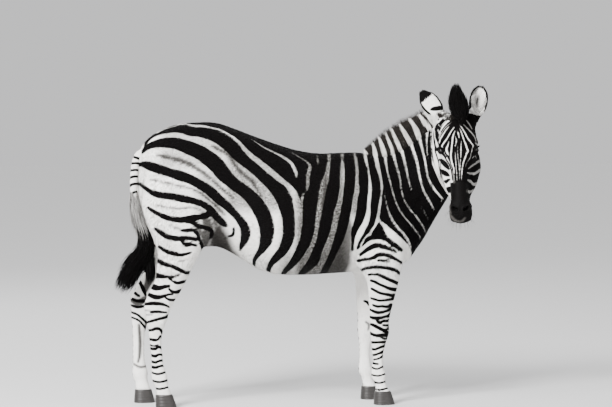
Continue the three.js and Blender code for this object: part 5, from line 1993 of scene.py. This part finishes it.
# %% [markdown]
# ## The coat
# Short hair lies flat and all one way in each region, the way rain should run off: back along the
# trunk, down the neck, shoulders, rump and legs, and down the face from the forehead. Spikes are
# scattered over the skin by area, laid along that direction, and sunk at the root so that only
# their upper half shows. They are longest on the belly and smallest on the face and feet. Each one
# takes its ink from the middle of its length, so that the stripes stay where they were drawn.

# %% Which way the hair lies
LIES = [
    # direction, and the limits in x and z between which it takes over: from, to
    ((-0.85, 0, -0.75), (250, 330), None),  # shoulder
    ((-0.55, 0.2, -0.85), (430, 520), None),  # neck
    ((-0.45, 0, -0.9), (-560, -680), None),  # rump
    ((0, 0, -1), None, (800, 690)),  # legs
]


def lie_of(plan, normals):
    """The direction of the hair at points of the skin, along the surface."""
    x, z = plan[:, 0], plan[:, 2]
    lie = np.tile([-1.0, 0, -0.3], (len(plan), 1))
    for direction, x_limits, z_limits in LIES:
        share = smooth_step(*x_limits, x) if x_limits else smooth_step(*z_limits, z)
        lie += share[:, None] * (np.array(direction) - lie)
    face = to_head(plan)
    cheek = smooth_step(-20, -110, face[:, 1])
    sideways = np.sign(face[:, 0]) * (0.25 + 0.2 * cheek) * smooth_step(5, 40, np.abs(face[:, 0]))
    on_face = np.stack([sideways, -0.5 * cheek, 1 + 0 * cheek], 1) @ HEAD_TURN.T
    here = head_share(plan) > 0.5
    lie[here] = on_face[here]
    for side, (_, axes) in EARS.items():
        up_ear = paint_ear(plan, normals, side)[2] > 0.5
        lie[up_ear] = axes[2]
    lie -= normals * (lie * normals).sum(1, keepdims=True)
    return unit(lie)


# %% Scatter over the skin
skin.data.calc_loop_triangles()
corners = np.empty(len(skin.data.loop_triangles) * 3, np.int32)
skin.data.loop_triangles.foreach_get("vertices", corners)
corners = corners.reshape(-1, 3)
skin_plan, skin_normals = to_plan(mesh_places(skin.data)), mesh_normals(skin.data)
sides = skin_plan[corners]
areas = np.linalg.norm(np.cross(sides[:, 1] - sides[:, 0], sides[:, 2] - sides[:, 0]), axis=1) / 2
middles = sides.mean(1)
print("skin area:", round(areas.sum() / 1e6, 2), "square metres")

# hair length, half width and height of the tip over the skin, in millimetres, by region
BODY_HAIR, NECK_HAIR, LEG_HAIR = (20, 2.3, 4.2), (17, 2.1, 4.0), (10, 1.5, 2.0)
HEAD_HAIR = (7.5, 1.15, 1.7)
SHORT_SPIKE = spike(0)
short_coat = hair_material("short_zebra_coat", 0)
on_head_face = head_share(middles) > 0.5
on_leg_face = ~on_head_face & (middles[:, 2] < LEG_TOP)
on_neck_face = ~on_head_face & (middles[:, 0] > 420) & (middles[:, 2] > 900)
on_body_face = ~(on_head_face | on_leg_face | on_neck_face)
to_right = middles[:, 1] < np.interp(middles[:, 0], *NECK_BEND)


def coat(name, chosen, count, size):
    """Scatters spikes over the chosen triangles of the skin."""
    length, half, tip_height = size
    weight = areas * chosen
    picked = rng.choice(len(weight), count, p=weight / weight.sum())
    a, b = rng.uniform(0, 1, (2, count))
    flip = a + b > 1
    a, b = np.where(flip, 1 - a, a), np.where(flip, 1 - b, b)
    shares = np.stack([1 - a - b, a, b], 1)
    three = corners[picked]
    plan = (skin_plan[three] * shares[..., None]).sum(1)
    normals = unit((skin_normals[three] * shares[..., None]).sum(1))
    values = paint(plan, normals)
    lie = lie_of(plan, normals)
    side = np.cross(lie, normals)
    lie = unit(lie + side * rng.normal(0, 0.12, count)[:, None])
    longer = 1 + 0.35 * smooth_step(-0.6, -0.95, normals[:, 2]) * (plan[:, 2] > 560)
    near_floor = 0.72 + 0.28 * smooth_step(120, 560, plan[:, 2])
    bare = 1 - 0.6 * values["bare"]
    reach = length * longer * near_floor * bare * rng.uniform(0.75, 1.2, count)
    height = tip_height * near_floor * bare * rng.uniform(0.5, 1.0, count)
    root = plan - lie * (reach * 0.5)[:, None] - normals * 1.6
    middle = plan + normals * (height * 0.85)[:, None]
    tip = plan + lie * (reach * 0.5)[:, None] + normals * height[:, None]
    values["dust"] = np.clip(values["dust"] + rng.normal(0, 0.07, count), 0, 1)
    values["grey"] = np.clip(values["grey"] + rng.normal(0.02, 0.04, count), 0, 1)
    side = np.cross(lie, normals)
    broad = half * near_floor * rng.uniform(0.8, 1.25, count)
    return grow(name, SHORT_SPIKE, arc(root, middle, tip), side * broad[:, None],
                normals * (half * 0.35), [(0, 0.8), (0.5, 1), (1, 0.05)], values, short_coat,
                "coat")


coat("coat_body_right", on_body_face & to_right, 42000, BODY_HAIR)
coat("coat_body_left", on_body_face & ~to_right, 42000, BODY_HAIR)
coat("coat_neck", on_neck_face, 22000, NECK_HAIR)
coat("coat_legs_right", on_leg_face & to_right, 34000, LEG_HAIR)
coat("coat_legs_left", on_leg_face & ~to_right, 34000, LEG_HAIR)
coat("coat_head", on_head_face, 42000, HEAD_HAIR)

# %% [markdown]
# ## Loose hairs
# A head looks alive only with the hairs that stand away from it: lashes along the upper lids,
# whiskers round the lips, and the pale fringe that keeps flies out of the ears. The coat also
# hangs over the top of each hoof as a short fringe.

# %% Fringes
def fringe(name, root, out, length, bend, half, look):
    """Loose spikes: a root, a direction, a length and a bend for each, and what is painted."""
    count = len(root)
    look = {key: np.broadcast_to(value, count) for key, value in look.items()}
    middle = root + out * (length * 0.5)[:, None]
    tip = root + out * length[:, None] + bend * (length * 0.35)[:, None]
    sideways = unit(np.cross(out, rng.normal(size=(count, 3))))
    return grow(name, spike(2), arc(root, middle, tip), sideways * half,
                np.cross(out, sideways) * half, [(0, 1), (0.6, 0.7), (1, 0.05)], look,
                short_coat, "coat")


DARK_LOOK = {"ink": 14, "grey": 0.3, "dust": 0, "bare": 0}


def ear_fringe(side, count):
    """Pale hairs that rise from both rims of an ear and lean over its hollow."""
    root, axes = EARS[side]
    share = rng.uniform(0.06, 0.62, count)
    _, half, front, _, wrap = ear_rows(share)
    hand = rng.choice([-1, 1], count)
    angle = np.radians(wrap) * rng.uniform(0.8, 0.97, count)
    local = np.stack([hand * half * np.sin(angle), -front * np.cos(angle),
                      share * EAR_LENGTH], 1)
    lean = unit(np.stack([-hand * rng.uniform(0.3, 0.8, count), rng.uniform(0, 0.35, count),
                          rng.uniform(0.6, 1, count)], 1))
    look = {"ink": -14, "grey": rng.uniform(0, 0.7, count), "dust": 0.1, "bare": 0}
    name = "ear_fringe_" + ("left" if side > 0 else "right")
    return fringe(name, local @ axes + root, lean @ axes, rng.uniform(16, 32, count),
                  -hand[:, None] * axes[0] * 0.5, 0.5, look)


def lashes(side, count):
    """Stiff black hairs along the edge of the upper lid."""
    nose = rng.uniform(-14, 15, count)
    up = LID_OVER * (1 - (nose / LID_ASIDE) ** 2) + rng.uniform(0, 1.5, count)
    ball = np.stack([nose, up, np.sqrt((EYE_RADIUS + 2.5) ** 2 - nose**2 - up**2)], 1)
    frame_axes = np.stack([TO_NOSE, EYE_UP, GAZE])
    face = EYE_PLACE + ball @ frame_axes
    out = unit(np.stack([nose / 30, 0.1 + 0 * nose, 1 + 0 * nose], 1)) @ frame_axes
    bend = EYE_UP + 0 * out
    for places in (face, out, bend):
        places[:, 0] *= side
    name = "lashes_" + ("left" if side > 0 else "right")
    return fringe(name, on_head(face), out @ HEAD_TURN.T, rng.uniform(10, 17, count),
                  bend @ HEAD_TURN.T, 0.45, DARK_LOOK)


def from_skin(chosen, count, outward, down, length, half, name, look):
    """Hairs from chosen places of the skin, leaning out and down by given shares."""
    picked = rng.choice(np.flatnonzero(chosen), count)
    way = unit(skin_normals[picked] * outward - np.array([0, 0, down])
               + rng.normal(0, 0.08, (count, 3)))
    return fringe(name, skin_plan[picked] - skin_normals[picked], way,
                  rng.uniform(0.6, 1, count) * length, np.tile([0, 0, -1.0], (count, 1)), half,
                  look)


for side in (1, -1):
    ear_fringe(side, 900)
    lashes(side, 90)
on_lips = (head_share(skin_plan) > 0.5) & (to_head(skin_plan)[:, 2] > 492)
from_skin(on_lips, 90, 1, 0.3, 42, 0.35, "whiskers", DARK_LOOK)
over_hoof = (skin_plan[:, 2] > CORONET + 2) & (skin_plan[:, 2] < CORONET + 12)
from_skin(over_hoof, 3600, 0.22, 1, 15, 0.9, "coronet_hair",
          {"ink": -14, "grey": 0.1, "dust": 0.2, "bare": 0})


# %% [markdown]
# ## Studio
# A plain pale floor. The main soft light stands high on the viewer's left, a weak one low on the
# right, and a third behind the animal, to part its back from the wall. A broad sun and a pale
# room fill the shadows, as daylight does.

# %% Floor and lights
FLOOR_REACH = 30  # metres from the middle to an edge
floor_form = bmesh.new()
bmesh.ops.create_grid(floor_form, x_segments=1, y_segments=1, size=FLOOR_REACH)
floor = object_from("floor", floor_form)
# Painted studio floor: smooth board under matt emulsion, an even pale grey with no shine.
paint_coat, tree = new_material("studio_floor")
matt = add(tree, "ShaderNodeBsdfPrincipled", {"Base Color": linear("c5c5c5"), "Roughness": 0.9})
finish_material(tree, matt)
floor.data.materials.append(paint_coat)


def soft_light(name, place, aim, size, power):
    """A square area light at a place, facing aim, both in metres."""
    lamp = bpy.data.lights.new(name, "AREA")
    lamp.size, lamp.energy = size, power
    held = bpy.data.objects.new(name, lamp)
    bpy.context.scene.collection.objects.link(held)
    held.location = place
    held.rotation_mode = "QUATERNION"
    held.rotation_quaternion = (Vector(aim) - Vector(place)).to_track_quat("-Z", "Y")


soft_light("key", (-5.5, -6.5, 6.0), (0, 0, 0.9), 3.0, 3000)
soft_light("fill", (5.0, -7.0, 3.0), (0, 0, 0.9), 4.0, 200)
soft_light("rim", (-2.0, 6.0, 5.0), (0, 0, 0.9), 4.0, 220)
sky_light = bpy.data.lights.new("daylight", "SUN")
sky_light.energy, sky_light.angle = 2.3, math.radians(25)
sky = bpy.data.objects.new("daylight", sky_light)
bpy.context.scene.collection.objects.link(sky)
sky.rotation_mode = "QUATERNION"
sky.rotation_quaternion = Vector((0.45, 0.55, -0.9)).to_track_quat("-Z", "Y")
world = bpy.data.worlds.new("room")
bpy.context.scene.world = world
world.use_nodes = True
world.node_tree.nodes["Background"].inputs["Color"].default_value = linear("f6f6f7")
world.node_tree.nodes["Background"].inputs["Strength"].default_value = 0.85
print("lights set")
